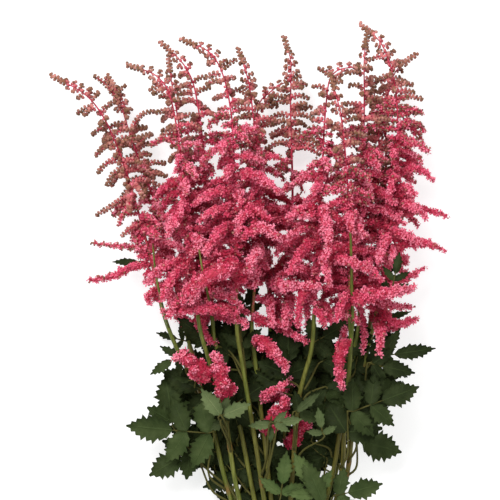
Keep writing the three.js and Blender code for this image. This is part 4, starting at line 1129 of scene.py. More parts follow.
class Finish:
    """A material's nodes, made by short calls."""

    def __init__(self, name, roughness, specular=0.5, **sockets):
        self.material = bpy.data.materials.new(name)
        self.material.use_nodes = True
        self.tree = self.material.node_tree
        self.shader = self.tree.nodes["Principled BSDF"]
        self.shader.inputs["Roughness"].default_value = roughness
        self.shader.inputs["Specular IOR Level"].default_value = specular
        for socket, value in sockets.items():
            self.shader.inputs[socket.replace("_", " ")].default_value = value

    def node(self, kind, given, **settings):
        """The outputs of a new node."""
        return add_node(self.tree, kind, given, **settings).outputs

    def layer(self, name, output="Fac"):
        """A value stored on the mesh's points."""
        return self.node("ShaderNodeAttribute", {}, attribute_name=name)[output]

    def noise(self, scale, detail=2.0, stretch=(1, 1, 1)):
        """A grain over the places on the object, stretched."""
        place = self.node("ShaderNodeTexCoord", {})["Object"]
        place = self.node("ShaderNodeMapping", {"Vector": place, "Scale": stretch})["Vector"]
        return self.node("ShaderNodeTexNoise", {"Vector": place, "Scale": scale, "Detail": detail})["Fac"]

    def maths(self, operation, a, b=0.0):
        return self.node("ShaderNodeMath", {0: a, 1: b}, operation=operation)[0]

    def between(self, value, low, high, to_low=0.0, to_high=1.0):
        """A value from low to high, brought to another range."""
        return self.node("ShaderNodeMapRange", {0: value, 1: low, 2: high, 3: to_low, 4: to_high})["Result"]

    def ramp(self, value, *stops):
        """A colour read off stops of (place, colour)."""
        node = add_node(self.tree, "ShaderNodeValToRGB", {"Fac": value})
        elements = node.color_ramp.elements
        while len(elements) < len(stops):
            elements.new(1.0)
        for element, (place, colour) in zip(elements, stops):
            element.position = place
            element.color = (*colour, 1.0)
        return node.outputs["Color"]

    def mix(self, share, under, colour):
        """A share of a colour, plain or a socket's, laid over a socket's colour."""
        colour = (*colour, 1.0) if isinstance(colour, tuple) else colour
        return self.node("ShaderNodeMix", {0: share, 6: under, 7: colour}, data_type="RGBA")[2]

    def bump(self, height, strength, distance):
        """Raises and sinks the surface by a height."""
        given = {"Height": height, "Strength": strength, "Distance": distance}
        feed(self.tree, self.shader.inputs["Normal"], self.node("ShaderNodeBump", given)["Normal"])

    def lean(self, layer, share):
        """Turns the shading part of the way towards a direction stored on the points."""
        stored = self.node("ShaderNodeVectorTransform", {"Vector": self.layer(layer, "Vector")},
                           vector_type="NORMAL", convert_from="OBJECT", convert_to="WORLD")["Vector"]
        own = self.node("ShaderNodeNewGeometry", {})["Normal"]
        both = self.node("ShaderNodeMix", {0: share, 4: own, 5: stored}, data_type="VECTOR")[1]
        even = self.node("ShaderNodeVectorMath", {0: both}, operation="NORMALIZE")["Vector"]
        feed(self.tree, self.shader.inputs["Normal"], even)

    def colour(self, socket):
        """Gives the finish its colour and hands the material over."""
        feed(self.tree, self.shader.inputs["Base Color"], socket)
        return self.material


def petal_finish():
    """Petals from a deep throat to a pale tip, and buds from pink through brown to olive, with painted shade
    and light.
    """
    finish = Finish("astilbe petals and buds", 0.8, 0.08, Sheen_Weight=0.1, Sheen_Roughness=0.4)
    tone = finish.layer("tone")
    tip = finish.layer("tip")
    petals = finish.ramp(tip,
                         (0.0, (0.54, 0.028, 0.08)), (0.3, (0.68, 0.062, 0.14)),
                         (0.7, (0.79, 0.12, 0.22)), (1.0, (0.85, 0.19, 0.305)))
    # painted light and shade: the shade layer darkens flowers deep in the bunch towards crimson and paints
    # face sprays and spray ends paler
    shade = finish.layer("shade")
    petals = finish.mix(finish.between(shade, 0.5, 1.0, 0.0, 0.65), petals, (0.94, 0.33, 0.445))
    petals = finish.mix(finish.between(shade, 0.5, 0.0, 0.0, 0.85), petals, (0.38, 0.009, 0.035))
    petals = finish.mix(finish.between(tone, 0.65, 1.0, 0.0, 0.28), petals, (0.96, 0.38, 0.42))
    petals = finish.mix(finish.between(tone, 0.0, 0.22, 0.25, 0.0), petals, (0.5, 0.015, 0.05))
    buds = finish.ramp(tone,
                       (0.0, (0.15, 0.065, 0.04)), (0.35, (0.31, 0.12, 0.09)),
                       (0.7, (0.48, 0.185, 0.16)), (1.0, (0.74, 0.33, 0.31)))
    buds = finish.mix(finish.between(tip, 0.45, 1.0, 0.0, 0.5), buds, (0.26, 0.16, 0.07))
    age = finish.layer("age")
    buds = finish.mix(finish.between(age, 0.0, 1.0), buds, (0.8, 0.13, 0.2))
    buds = finish.mix(finish.between(age, 0.0, -0.5, 0.0, 0.65), buds, (0.17, 0.09, 0.052))
    # painted shade: buds deep in the bunch darkened towards crimson
    buds = finish.mix(finish.between(shade, 0.4, 0.0, 0.0, 0.5), buds, (0.24, 0.012, 0.03))
    finish.lean("outward", 0.35)
    return finish.colour(finish.mix(finish.layer("bud"), petals, buds))


def rachis_finish():
    """Axes and the hearts of the sprays: olive at a plume's foot, crimson and grained above."""
    finish = Finish("astilbe crimson axis", 0.6, 0.2)
    colour = finish.ramp(finish.layer("rise"), (0.0, (0.16, 0.17, 0.035)), (0.16, (0.2, 0.12, 0.035)),
                         (0.3, (0.42, 0.025, 0.05)), (1.0, (0.44, 0.03, 0.065)))
    grain = finish.noise(420, 2.0)
    finish.bump(grain, 0.5, 0.0008)
    colour = finish.mix(finish.between(grain, 0.45, 0.62, 0.0, 0.8), colour, (0.66, 0.06, 0.13))
    return finish.colour(finish.mix(finish.between(grain, 0.42, 0.3, 0.0, 0.8), colour, (0.2, 0.008, 0.022)))


def stem_finish():
    """Olive stems with fine lengthwise streaks, orange-brown at their knots and pale where cut."""
    finish = Finish("astilbe olive stem", 0.5, 0.3)
    streaks = finish.noise(420, 3.0, (1, 0.03, 1))
    colour = finish.ramp(streaks, (0.25, (0.05, 0.07, 0.008)), (0.5, (0.108, 0.138, 0.017)),
                         (0.78, (0.21, 0.235, 0.046)))
    sides = finish.between(finish.noise(7, 1.0), 0.4, 0.75)
    colour = finish.mix(finish.maths("MULTIPLY", sides, 0.5), colour, (0.2, 0.11, 0.03))
    colour = finish.mix(finish.layer("knot"), colour, (0.2, 0.1, 0.03))
    colour = finish.mix(finish.layer("cut"), colour, (0.5, 0.52, 0.27))
    finish.bump(streaks, 0.5, 0.0005)
    return finish.colour(colour)


def leaf_finish():
    """Dark toothed leaves with sunk veins above and a paler matt underside."""
    finish = Finish("astilbe leaf", 0.62, 0.08)
    along = finish.layer("along")
    across = finish.maths("ABSOLUTE", finish.layer("across"))
    slant = finish.maths("SUBTRACT", finish.maths("MULTIPLY", along, 8.0),
                         finish.maths("MULTIPLY", across, 1.7))
    side_veins = finish.maths("ABSOLUTE", finish.maths("SUBTRACT", finish.maths("FRACT", slant), 0.5))
    side_veins = finish.between(side_veins, 0.41, 0.5)
    rib = finish.between(across, 0.09, 0.02)
    veins = finish.maths("MAXIMUM", rib, finish.maths("MULTIPLY", side_veins, 0.6))
    mottle = finish.noise(60, 4.0)
    upper = finish.ramp(mottle, (0.25, (0.008, 0.012, 0.003)), (0.5, (0.017, 0.025, 0.007)),
                        (0.8, (0.038, 0.052, 0.018)))
    upper = finish.mix(finish.maths("MULTIPLY", veins, 0.35), upper, (0.06, 0.09, 0.028))
    fresh = finish.ramp(mottle, (0.3, (0.055, 0.09, 0.025)), (0.7, (0.1, 0.14, 0.045)))
    upper = finish.mix(finish.layer("fresh"), upper, fresh)
    under = finish.ramp(mottle, (0.3, (0.095, 0.135, 0.05)), (0.7, (0.16, 0.205, 0.085)))
    under = finish.mix(finish.maths("MULTIPLY", veins, 0.5), under, (0.25, 0.29, 0.13))
    side = finish.maths("MAXIMUM", finish.layer("under"), finish.layer("pale"))
    colour = finish.mix(side, upper, under)
    colour = finish.mix(finish.layer("stalk"), colour, (0.085, 0.08, 0.022))
    height = finish.maths("SUBTRACT", finish.maths("MULTIPLY", mottle, 0.4), veins)
    finish.bump(height, 0.6, 0.0006)
    return finish.colour(colour)


def band_finish():
    """Natural elastic with a fine cross grain."""
    finish = Finish("natural elastic band", 0.55, 0.4)
    grain = finish.noise(500, 3.0, (0.2, 1, 0.2))
    finish.bump(grain, 0.4, 0.0003)
    return finish.colour(finish.ramp(grain, (0.3, (0.46, 0.33, 0.17)), (0.7, (0.6, 0.47, 0.28))))


def table_finish():
    """A plain white table top that glows a little, as a light table does."""
    finish = Finish("white table", 0.85, 0.1, Emission_Color=(1, 1, 1, 1), Emission_Strength=0.68)
    return finish.colour(finish.ramp(finish.noise(3, 3.0),
                                     (0.2, (0.46, 0.46, 0.46)), (0.8, (0.48, 0.48, 0.48))))


petals_material = petal_finish()
rachis_material = rachis_finish()
stem_material = stem_finish()
leaf_material = leaf_finish()
band_material = band_finish()


# ---------------------------------------------------------------- flowers and buds
def petal(skin, turn, lift, length, width):
    """One folded petal: a closed kite of four faces."""
    out = np.array([math.cos(turn) * math.cos(lift), math.sin(turn) * math.cos(lift), math.sin(lift)])
    side = np.array([-math.sin(turn), math.cos(turn), 0])
    fold = np.cross(out, side)
    points = [0.06 * out, out * 0.6 * length + side * width / 2 - fold * 0.1 * length,
              out * 0.6 * length - side * width / 2 - fold * 0.1 * length, out * length]
    skin.add(points, [(0, 1, 3), (0, 3, 2), (0, 2, 1), (1, 2, 3)], tip=[0, 0.6, 0.6, 1])


def open_flower(name, petals, lifts, widths, chance):
    """A small star of petals, one long, standing on its base."""
    skin = Skin("tip", "bud")
    for k in range(petals):
        turn = 2 * math.pi * (k + 0.5 * next(chance)) / petals
        lift = math.radians(lerp(*lifts, next(chance)))
        petal(skin, turn, lift, 0.85 + 0.3 * next(chance), lerp(*widths, next(chance)))
    return skin.template(name)


def bud(name, sides, width, waist):
    """A closed round bud, one long, standing on its base."""
    skin = Skin("tip", "bud")
    rings = [ring_at(np.array([0, 0, z]), UPRIGHT, UP_THE_BUNCH, r * width / 2, sides, turn)
             for z, r, turn in ((0.2, waist, 0), (0.7, 1, math.pi / sides))]
    points = [[0, 0, 0], *rings[0], *rings[1], [0, 0, 1]]
    faces = []
    for k in range(sides):
        a, b = 1 + k, 1 + (k + 1) % sides
        c, d = sides + a, sides + b
        faces += [(0, b, a), (a, b, c), (b, d, c), (c, d, 2 * sides + 1)]
    skin.add(points, faces, tip=[0, *[0.3] * sides, *[0.7] * sides, 1], bud=1.0)
    return skin.template(name, smooth=True)


def make_templates():
    chance = draws(SHAPE_SEED)
    shapes = bpy.data.collections.new("flowers and buds")
    makes = [
        open_flower("shape_0", 4, (14, 50), (0.6, 0.78), chance),
        open_flower("shape_1", 3, (4, 60), (0.7, 0.9), chance),
        open_flower("shape_2", 3, (25, 74), (0.7, 0.9), chance),
        bud("shape_3", 5, 0.92, 0.85),
        bud("shape_4", 4, 1.0, 0.8),
    ]
    for shape in makes:
        shapes.objects.link(shape)
    return shapes


class Spots:
    """Where flowers and buds sit: a place, a direction, a size and a shape for each, and its age and
    its shade, which holds painted shade deep in the bunch and painted light on its face besides the own
    paleness."""

    def __init__(self, chance):
        self.chance = chance
        self.places = []
        self.outward = []
        self.sizes = []
        self.shapes = []
        self.ages = []
        self.shades = []
        self.bare_line = None

    def begin(self, age, body=None):
        """Draws the age and the paleness of a new spray, painted light included, and keeps which body it is.
        """
        self.body = body
        self.age = age + 0.5 * (next(self.chance) - 0.6)
        opened = body.opened if body else 0
        # paleness: drawn at random, more for sprays still in bud, plus the painted light of the sprays on
        # the face
        self.pale = 0.55 * (next(self.chance) - 0.5) + 0.55 * (1 - opened) + (body.painted_light if body else 0)

    def keep_bare(self, flower):
        """Remembers the stretch of a plume's axis that no bud may cover."""
        self.bare_line = np.array([flower.path.at(flower.path.length - from_tip)
                                   for from_tip in np.arange(BARE_FIRST, BARE_LAST, 1.5)])

    def covers_axis(self, place):
        """Whether a place lies right above the plume's own bare axis."""
        far = np.hypot(self.bare_line[:, 0] - place[0], self.bare_line[:, 1] - place[1])
        nearest_one = far.argmin()
        return far[nearest_one] < BARE_WIDTH and place[2] > self.bare_line[nearest_one, 2]

    def add(self, share, place, outward, size, is_open, age=0.0):
        """A flower or bud at a share of the body's length, unless it is buried or under the table."""
        pick = next(self.chance)
        size *= 0.82 + 0.36 * next(self.chance)
        outward = unit(outward)
        lowest = place[2] + size * min(0, outward[2])
        if lowest < 0.3 * size or (is_open and outward[2] < -0.35 and next(self.chance) < UNSEEN_BELOW):
            return
        middle = place + outward * 0.5 * size
        if self.body and crowd.buries(middle, self.body):
            return
        if not is_open and self.bare_line is not None and self.covers_axis(middle):
            return
        depth = crowd.depth_at(self.body, share, outward) if self.body else 0.2
        if depth > 0.9 and next(self.chance) < UNSEEN_WITHIN:
            return
        top = place[2] + size * max(0.4, outward[2])
        self.places.append(place - UPRIGHT * max(0, top - VISIBLE_TOP))
        self.outward.append(outward)
        self.sizes.append(size)
        self.shapes.append(int(pick * OPEN_SHAPES) if is_open else OPEN_SHAPES + int(pick * BUD_SHAPES))
        self.ages.append(self.age + age)
        # painted shade: flowers deep in the bunch are darkened; the same value carries the paleness
        self.shades.append(clamp(0.73 + self.pale - depth, 0, 1))

    def mesh(self, name):
        """A mesh of loose points that carries each spot's values."""
        mesh = bpy.data.meshes.new(name)
        mesh.from_pydata(((np.array(self.places) + BOARD) * MM).tolist(), [], [])
        mesh.attributes.new("outward", "FLOAT_VECTOR", "POINT").data.foreach_set(
            "vector", np.array(self.outward, np.float32).ravel())
        layers = [("size", "FLOAT", np.array(self.sizes) * MM), ("age", "FLOAT", self.ages),
                  ("shade", "FLOAT", self.shades), ("shape", "INT", self.shapes)]
        for layer, kind, rows in layers:
            mesh.attributes.new(layer, kind, "POINT").data.foreach_set("value", rows)
        return mesh


def cover_open(spots, body, spacing):
    """Open flowers in a spiral over a body's core, with some buds left towards its tip."""
    path = body.path
    shares = np.linspace(body.root_share + 0.04, 1, 24)
    step = path.length * (shares[1] - shares[0])
    area = np.concatenate([[0], np.cumsum([
        2 * math.pi * (body.core(share) + 0.8) * step for share in shares[1:]])])
    count = max(4, int(area[-1] / spacing ** 2))
    turn = 360 * next(spots.chance)
    for k in range(count):
        share = float(np.interp((k + 0.5) / count * area[-1], area, shares))
        place = share * path.length
        turn += GOLDEN + 20 * (next(spots.chance) - 0.5)
        heading, outward = round_about(path, place, math.radians(turn))
        lean = 0.3 + 1.2 * max(0, share - 0.84) / 0.16
        is_open = next(spots.chance) < min(0.96, body.opened * 1.3) - 0.6 * share ** 3 * (1.1 - body.opened)
        size = FLORET_LENGTH * lerp(0.85, 1.05, body.opened) if is_open else BUD_LENGTH * 0.72
        spots.add(share, path.at(place) + outward * 0.9 * body.core(share), outward + heading * lean, size,
                  is_open, age=-1.1 * next(spots.chance))


def cover_bud(spots, path, opened=0.0, first=1.2, scale=1.0):
    """Pairs of buds to the left and right of a spray in bud, in turn, and a blunt end: pink near the
    axis and brown towards the end."""
    side = math.pi * int(2 * next(spots.chance))
    for place in np.arange(first, path.length - 0.8, BUD_STEP * scale):
        side += math.pi
        share = place / path.length
        size = scale * BUD_LENGTH * (1.05 - 0.15 * share)
        for turn in (0.0, 1.3 if next(spots.chance) < 0.7 else -1.3):
            heading, outward = round_about(path, place, side + turn + 0.7 * (next(spots.chance) - 0.5))
            is_open = next(spots.chance) < 1.5 * opened - 0.6 * share
            spots.add(share, path.at(place) + outward * 0.35, outward + heading * (0.25 + 0.6 * share),
                      FLORET_LENGTH if is_open else size, is_open, age=0.5 - 0.9 * share)
    for turn in (0, 2, 4):
        heading, outward = round_about(path, path.length, turn)
        spots.add(1, path.at(path.length - 1.2) + outward * 0.4, heading + 0.5 * outward,
                  scale * BUD_LENGTH * 0.85, False, age=-0.4)


def cover_tip(spots, flower):
    """The plume's end: a blunt row of buds, and below it clusters that grow left and right."""
    path = flower.path
    length = path.length
    spots.begin(-0.1)
    side = 0 if next(spots.chance) < 0.5 else math.pi
    for from_tip in np.arange(1.0, TIP_ROW, TIP_ROW_STEP):
        side += math.pi
        for turn in (0, 1.3, -1.3):
            angle = side + turn + 0.5 * (next(spots.chance) - 0.5)
            heading, outward = round_about(path, length - from_tip, angle)
            lean = max(0.3, 1.1 - 0.12 * from_tip)
            spots.add(1, path.at(length - from_tip) + outward * 0.3, outward + heading * lean,
                      BUD_LENGTH * 1.04, False)
    from_tip = TIP_ROW
    while from_tip < CATKIN_LENGTH + 5:
        side += math.pi
        heading, outward = round_about(path, length - from_tip, side + 0.9 * (next(spots.chance) - 0.5))
        out = unit(outward + heading * (0.2 + 0.4 * next(spots.chance)))
        reach = 3.2 + 0.2 * (from_tip - 16)
        foot = path.at(length - from_tip)
        shoot = Path([foot, foot + out * reach * 0.6, foot + out * reach + heading * 0.1 * reach])
        spots.begin(0.1)
        cover_bud(spots, shoot, first=0.7, scale=1.02)
        from_tip += TIP_CLUSTER_GAP


def flower_tree(shapes):
    """Sets a flower or a bud on every spot, turned by chance round its own axis."""
    tree = bpy.data.node_groups.new("flowers on spots", "GeometryNodeTree")
    face = tree.interface
    face.new_socket("Spots", in_out="INPUT", socket_type="NodeSocketGeometry")
    face.new_socket("Size", in_out="INPUT", socket_type="NodeSocketFloat").default_value = 1.0
    face.new_socket("Turn", in_out="INPUT", socket_type="NodeSocketFloat").default_value = 2 * math.pi
    face.new_socket("Seed", in_out="INPUT", socket_type="NodeSocketInt").default_value = 1
    face.new_socket("Flowers", in_out="OUTPUT", socket_type="NodeSocketGeometry")

    def node(kind, given, **settings):
        """The outputs of a new node."""
        return add_node(tree, kind, given, **settings).outputs

    def named(name, kind="FLOAT"):
        """A value that the spots carry."""
        return node("GeometryNodeInputNamedAttribute", {"Name": name}, data_type=kind)["Attribute"]

    def drawn(high):
        """A value from 0 upwards, drawn for each spot."""
        limits = {2: 0.0, 3: high, "Seed": inputs["Seed"]}
        return node("FunctionNodeRandomValue", limits, data_type="FLOAT")[1]

    inputs = node("NodeGroupInput", {})
    upright = node("FunctionNodeAlignRotationToVector", {"Vector": named("outward", "FLOAT_VECTOR")},
                   axis="Z")["Rotation"]
    spin = node("FunctionNodeAxisAngleToRotation", {"Angle": drawn(inputs["Turn"])})["Rotation"]
    turned = node("FunctionNodeRotateRotation", {"Rotation": upright, "Rotate By": spin},
                  rotation_space="LOCAL")["Rotation"]
    size = node("ShaderNodeMath", {0: named("size"), 1: inputs["Size"]}, operation="MULTIPLY")[0]
    kinds = node("GeometryNodeCollectionInfo",
                 {"Collection": shapes, "Separate Children": True, "Reset Children": True})["Instances"]
    placed = node("GeometryNodeInstanceOnPoints",
                  {"Points": inputs["Spots"], "Instance": kinds, "Pick Instance": True,
                   "Instance Index": named("shape", "INT"), "Rotation": turned, "Scale": size})["Instances"]
    toned = node("GeometryNodeStoreNamedAttribute",
                 {"Geometry": placed, "Name": "tone", "Value": drawn(1.0)},
                 domain="INSTANCE", data_type="FLOAT")["Geometry"]
    real = node("GeometryNodeRealizeInstances", {"Geometry": toned})["Geometry"]
    painted = node("GeometryNodeSetMaterial", {"Geometry": real, "Material": petals_material})["Geometry"]
    node("NodeGroupOutput", {"Flowers": painted})
    return tree


def flowers_on(spots, tree, name, seed):
    """The plain mesh that the tree makes of the spots."""
    holder = bpy.data.objects.new(name, spots.mesh(name + " spots"))
    bpy.context.scene.collection.objects.link(holder)
    modifier = holder.modifiers.new("flowers", "NODES")
    modifier.node_group = tree
    sockets = {item.name: item.identifier for item in tree.interface.items_tree if item.in_out == "INPUT"}
    modifier[sockets["Seed"]] = seed
    modifier[sockets["Size"]] = 1.0
    modifier[sockets["Turn"]] = 2 * math.pi
    depsgraph = bpy.context.evaluated_depsgraph_get()
    mesh = bpy.data.meshes.new_from_object(holder.evaluated_get(depsgraph), depsgraph=depsgraph)
    places = np.zeros(3 * len(mesh.vertices), np.float32)
    mesh.vertices.foreach_get("co", places)
    places[2::3] = np.maximum(places[2::3], TABLE_GAP * MM)
    mesh.vertices.foreach_set("co", places)
    points = holder.data
    bpy.data.objects.remove(holder)
    bpy.data.meshes.remove(points)
    return mesh


def spray_body(skin, spots, spray, rise, glow=END_GLOW):
    """One spray: its core, its lobes and the flowers or buds on them."""
    shares = np.linspace(0, 0.97, max(4, int(spray.path.length / 4)))
    skin.tube([spray.path.at(share * spray.path.length) for share in shares],
              [spray.core(share) for share in shares], rise=rise)
    spots.begin(spray.opened, spray)
    if spray.opened <= 0.3:
        cover_bud(spots, spray.path, spray.opened)
        return
    cover_open(spots, spray, 1.15 * FLORET_SPACING)
    pale = spots.pale
    for lobe in spray.lobes:
        spots.body = lobe
        # painted light and shade: lobes towards a spray's end painted paler, those by its foot darker
        spots.pale = pale + glow * (lobe.place - 0.36)
        skin.tube(lobe.path.samples[::Path.PER_SPAN], lobe.radii, 5, rise=rise)
        cover_open(spots, lobe, FLORET_SPACING)


def joined_mesh(name, *meshes):
    """One mesh of several, each with its own material kept."""
    pieces = []
    for mesh in meshes:
        piece = bpy.data.objects.new(name, mesh)
        bpy.context.scene.collection.objects.link(piece)
        pieces.append(piece)
    with bpy.context.temp_override(active_object=pieces[0], object=pieces[0],
                                   selected_objects=pieces, selected_editable_objects=pieces):
        bpy.ops.object.join()
    whole = pieces[0].data
    bpy.data.objects.remove(pieces[0])
    whole.name = name
    return whole


def plume(flower, tree):
    """One plume: its axis, its sprays and every flower and bud on them."""
    skin = Skin("rise")
    spots = Spots(draws(PLUME_SEEDS + flower.number))
    spots.keep_bare(flower)
    path = flower.path
    places = np.arange(flower.base, path.length - 1, 5)
    rise = (places - flower.base) / (path.length - flower.base)
    skin.tube([path.at(place) for place in places], lerp(AXIS_SEEN_BASE, AXIS_SEEN_TIP, rise), rise=rise)
    for spray in flower.sprays:
        height = np.clip((spray.path.samples[0][1] - flower.base_level) / PLUME_HEIGHT, 0.4, 1)
        spray_body(skin, spots, spray, height)
    cover_tip(spots, flower)
    flower_places.extend(spots.places)
    bodies = skin.mesh("axis")
    bodies.materials.append(rachis_material)
    name = f"astilbe_plume_{flower.name}"
    show(joined_mesh(name, bodies, flowers_on(spots, tree, name, flower.number)),
         "flower", f"plume_{flower.name}")


def side_spray(number, spray, tree):
    """A short spray low on a stem, in full flower."""
    skin = Skin("rise")
    spots = Spots(draws(LOW_SPRAY_SEEDS + number))
    spray_body(skin, spots, spray, 0.3, LOW_END_GLOW)
    bodies = skin.mesh("axis")
    bodies.materials.append(rachis_material)
    name = f"low_spray_{number}"
    show(joined_mesh(name, bodies, flowers_on(spots, tree, name, LOW_SPRAY_TURNS + number)),
         "flower", f"side_spray_{number}")


# ---------------------------------------------------------------- stems and leaves
def stem(flower):
    """One ridged stem, a little thicker where a leaf leaves it."""
    skin = Skin("knot", "cut")
    knots = [plan["start"] for plan in LEAVES if plan["carrier"] == ("stem", flower.number)]
    top = flower.base_level + 2
    levels = np.unique(np.concatenate([[flower.cut, flower.cut + 0.6], np.arange(flower.cut + 8, top, 8),
                                       *[np.arange(knot - KNOT_HALF, knot + KNOT_HALF + 1, 3)
                                         for knot in knots], [top]]))
    levels = levels[levels <= top]
    points = np.array([at_height(flower.path.samples, y) for y in levels])
    swell = np.array([sum(math.exp(-(2 * (y - knot) / KNOT_HALF) ** 2) for knot in knots) for y in levels])
    radii = [0.97 * flower.stem_radius(y) * (1 + KNOT_SWELL * more) for y, more in zip(levels, swell)]
    radii[-1] *= 0.85
    cut = (levels < flower.cut + 0.3).astype(float)
    skin.tube(points, radii, STEM_ROUND_SIDES, knot=np.clip(swell, 0, 1) * 0.8, cut=cut)
    draw_in_ridges(skin.points[0], points)
    show(skin.mesh(f"stem_skin_{flower.name}"), "stem", f"stem_{flower.name}", materials=[stem_material])


def front_stalks():
    """Stalks that rise from their stems and lie on the flowers in front of them."""
    tops = np.array(flower_places)
    skin = Skin("knot", "cut")
    for number, width, course in FRONT_STALKS:
        foot = at_height(flowers[number - 1].path.samples, course[0][1] - FRONT_FOOT)
        levels = [foot[1]]
        heights = [foot[2]]
        for x, y in course:
            near = tops[np.hypot(tops[:, 0] - x, tops[:, 1] - y) < FRONT_NEAR, 2]
            levels.append(y)
            heights.append(np.percentile(near, 95) + FRONT_LIFT if len(near) else heights[-1])
        bend = np.polynomial.Polynomial.fit(levels, heights, 2, w=[6, *[1] * len(course)])
        path = Path([foot, *[[x, y, min(bend(y), VISIBLE_TOP - width)] for x, y in course]])
        shares = np.linspace(0, 1, 24)
        skin.tube([path.at(path.length * share) for share in shares],
                  [width * (1 - 0.4 * share) for share in shares], 8)
    show(skin.mesh("stalks_over_flowers"), "stem", materials=[stem_material])


def draw_in_ridges(skin_points, centres):
    """Draws every other line of a stem in towards its centre."""
    for ring, centre in enumerate(centres):
        rows = slice(ring * STEM_ROUND_SIDES + 1, (ring + 1) * STEM_ROUND_SIDES, 2)
        skin_points[rows] += (centre - skin_points[rows]) * STEM_RIDGE


def leaf_width(share, half):
    """Half width of a leaflet along its rib, from 0 at the base to 0 at its drawn-out tip."""
    return half * math.sin(math.pi * share ** 0.68) ** (0.7 + 0.6 * share)


def leaflet(skin, plan, base, turn, length, chance):
    """A leaflet with teeth that point forwards: two like faces and the rim between them."""
    half = 0.5 * plan.slim * length
    rows = 2 * (3 + int(length / 8))
    wave = 2 * math.pi * next(chance)
    twist = 0.9 * (next(chance) - 0.5)
    fresh = clamp(plan.fresh + 0.35 * next(chance) ** 2, 0, 1)
    ahead, aside = math.cos(turn), math.sin(turn)
    top = []
    along_values = []
    for row in range(rows + 1):
        share = row / rows
        inner = 0 < row < rows
        tooth = BLADE_TEETH[row // 2 % 2][row % 2] if inner else 1
        width = max(leaf_width(share, half) * tooth, 0.3 if row else 0.8)
        for column in BLADE_COLUMNS:
            forward = share + (0.6 / rows if inner and row % 2 else 0) * abs(column) ** 3
            forward += 0.06 * abs(column) * math.sin(math.pi * share)
            out = column * width
            ripple = math.sin(5 * math.pi * share + wave + 0.9 * column)
            ripple *= 0.045 * length * abs(column) ** 1.5
            groove = -0.35 * math.exp(-(column / 0.2) ** 2) if row else 0
            lift = BLADE_FOLD * abs(out) + twist * out - plan.arch * length * forward ** 2 + ripple + groove
            top.append((base + ahead * forward * length - aside * out,
                        aside * forward * length + ahead * out, lift))
            along_values.append(min(forward, 1))
    count = len(top)
    points = [plan.place(x, y, z + BLADE_THICK / 2) for x, y, z in top]
    points += [plan.place(x, y, z - BLADE_THICK / 2) for x, y, z in top]
    n = len(BLADE_COLUMNS)
    faces = []
    for row in range(rows):
        for k in range(n - 1):
            a = row * n + k
            faces.append((a, a + n, a + n + 1, a + 1)[::-1])
            faces.append((a + count, a + 1 + count, a + n + 1 + count, a + n + count)[::-1])
    rim = [*range(n), *[row * n + n - 1 for row in range(1, rows + 1)],
           *[rows * n + k for k in range(n - 2, -1, -1)], *[row * n for row in range(rows - 1, 0, -1)]]
    for a, b in zip(rim, [*rim[1:], rim[0]]):
        faces.append((b, a, a + count, b + count)[::-1])
    skin.add(points, faces, along=np.tile(along_values, 2), across=np.tile(BLADE_COLUMNS, 2 * (rows + 1)),
             under=np.repeat([0.0, 1.0], count), pale=plan.pale, fresh=fresh)


def leaf_body(skin, plan, chance):
    """One leaf: its stalk, the rib between its leaflets, and the leaflets."""
    stalk = plan.stalk
    shares = np.linspace(0, 1, 14)
    skin.tube([stalk.at(stalk.length * share) for share in shares],
              [lerp(1.25, 0.75, share) for share in shares], stalk=1.0)
    ends = [plan.behind, plan.leaflets[0][0] + 2]
    skin.tube([plan.place(lerp(*ends, share), 0, -0.3) for share in (0, 0.5, 1)], [0.85, 0.75, 0.5],
              stalk=1.0)
    for base, turn, length in plan.leaflets:
        leaflet(skin, plan, base, turn, length, chance)


def leaf_piece(plan, chance):
    skin = Skin(*LEAF_LAYERS)
    leaf_body(skin, plan, chance)
    show(skin.mesh("astilbe_" + plan.name), "leaf", plan.name, materials=[leaf_material])


def leaves_on_stems(plans, chance):
    """The leaves between the stems, those of one stem joined."""
    skins = {}
    for plan in plans:
        skin = skins.setdefault(plan.carrier[1], Skin(*LEAF_LAYERS))
        leaf_body(skin, plan, chance)
    for number, skin in sorted(skins.items()):
        show(skin.mesh(f"leaves_of_stem_{number:02d}"), "leaf", materials=[leaf_material])


def band():
    """The elastic band: a rounded strip round the outermost stems."""
    corners = [place_in_tie(*spot) for spot in ((0, 5), (2, 3), (2, 0), (0, 0))]
    turns = [(-90, 30), (30, 90), (90, 150), (150, 270)]
    middle = STEM_FOOT + SEAT + TIE_WALL / 2
    section = [(TIE_HALF * math.cos(angle), TIE_WALL / 2 * math.sin(angle))
               for angle in np.linspace(0, 2 * math.pi, 17)[:-1]]
    rings = []
    for (x, z), (start, end) in zip(corners, turns):
        for angle in np.radians(np.linspace(start, end, 7)):
            out = np.array([math.cos(angle), 0, math.sin(angle)])
            for along, thick in section:
                flat = math.copysign(min(abs(thick) * 1.6, TIE_WALL / 2), thick)
                rings.append(np.array([x, TIE_Y, z]) + out * (middle + flat) + UP_THE_BUNCH * along)
    sides = len(section)
    count = len(rings) // sides
    faces = [(r * sides + k, r * sides + (k + 1) % sides, (r + 1) % count * sides + (k + 1) % sides,
              (r + 1) % count * sides + k) for r in range(count) for k in range(sides)]
    skin = Skin()
    skin.add(rings, faces)
    show(skin.mesh("elastic_band"), "band", "band", materials=[band_material])


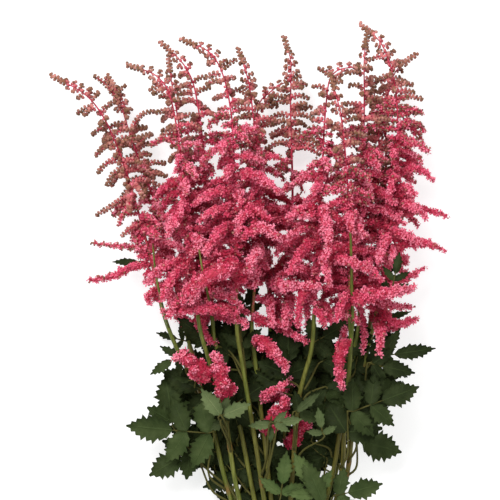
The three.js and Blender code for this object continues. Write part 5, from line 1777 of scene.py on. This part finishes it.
# ---------------------------------------------------------------- putting it together
shapes = make_templates()
tree = flower_tree(shapes)
flower_places = []
for flower in flowers:
    plume(flower, tree)
    stem(flower)
front_stalks()
for number, spray in enumerate(side_sprays, 1):
    side_spray(number, spray, tree)
leaf_chance = draws(LEAF_SEED)
for plan in leaf_plans:
    leaf_piece(plan, leaf_chance)
leaves_on_stems(between_plans, leaf_chance)
band()
for shape in list(shapes.objects):
    bpy.data.objects.remove(shape)
bpy.data.collections.remove(shapes)
bpy.data.node_groups.remove(tree)


# ---------------------------------------------------------------- table, light and camera
def lay_table():
    """A plain table top, wide enough in metres to fill every view."""
    mesh = bpy.data.meshes.new("table top")
    reach = 30
    mesh.from_pydata([(-reach, -reach, 0), (reach, -reach, 0), (reach, reach, 0), (-reach, reach, 0)], [],
                     [(0, 1, 2, 3)])
    mesh.materials.append(table_finish())
    table = bpy.data.objects.new("table_top", mesh)
    bpy.context.scene.collection.objects.link(table)


def soft_light(name, place, aim, size, power):
    """A large soft lamp at a place, turned to what it lights."""
    lamp = bpy.data.lights.new(name, "AREA")
    lamp.shape = "DISK"
    lamp.size = size
    lamp.energy = power
    holder = bpy.data.objects.new(name, lamp)
    holder.location = place
    direction = np.array(aim) - np.array(place)
    holder.rotation_euler = Vector(direction).to_track_quat("-Z", "Y").to_euler()
    bpy.context.scene.collection.objects.link(holder)


def light_room():
    """Soft light: a pale room, a lamp beyond the plumes and a weaker one by the stems."""
    world = bpy.data.worlds.new("pale room")
    bpy.context.scene.world = world
    world.use_nodes = True
    world.node_tree.nodes["Background"].inputs["Color"].default_value = (1, 1, 1, 1)
    world.node_tree.nodes["Background"].inputs["Strength"].default_value = 0.5
    middle = (0, 0.1, 0.05)
    soft_light("key", (-0.6, 1.1, 1.8), middle, 1.1, 37)
    soft_light("fill", (1.2, -0.4, 1.9), middle, 1.4, 10)


def set_camera():
    """Straight above the plumes; the view is 500 mm wide at the middle of the bunch's depth."""
    view_width = 0.5
    distance = 3.0
    middle_depth = 0.06
    camera = bpy.data.cameras.new("camera")
    camera.sensor_width = 36
    camera.lens = camera.sensor_width * distance / view_width
    camera.clip_end = 100
    holder = bpy.data.objects.new("camera", camera)
    centre = (np.array([250, 450, 0]) + BOARD) * MM
    holder.location = (centre[0], centre[1], middle_depth + distance)
    bpy.context.scene.collection.objects.link(holder)
    bpy.context.scene.camera = holder


lay_table()
light_room()
set_camera()
bpy.context.scene.view_settings.view_transform = "Standard"
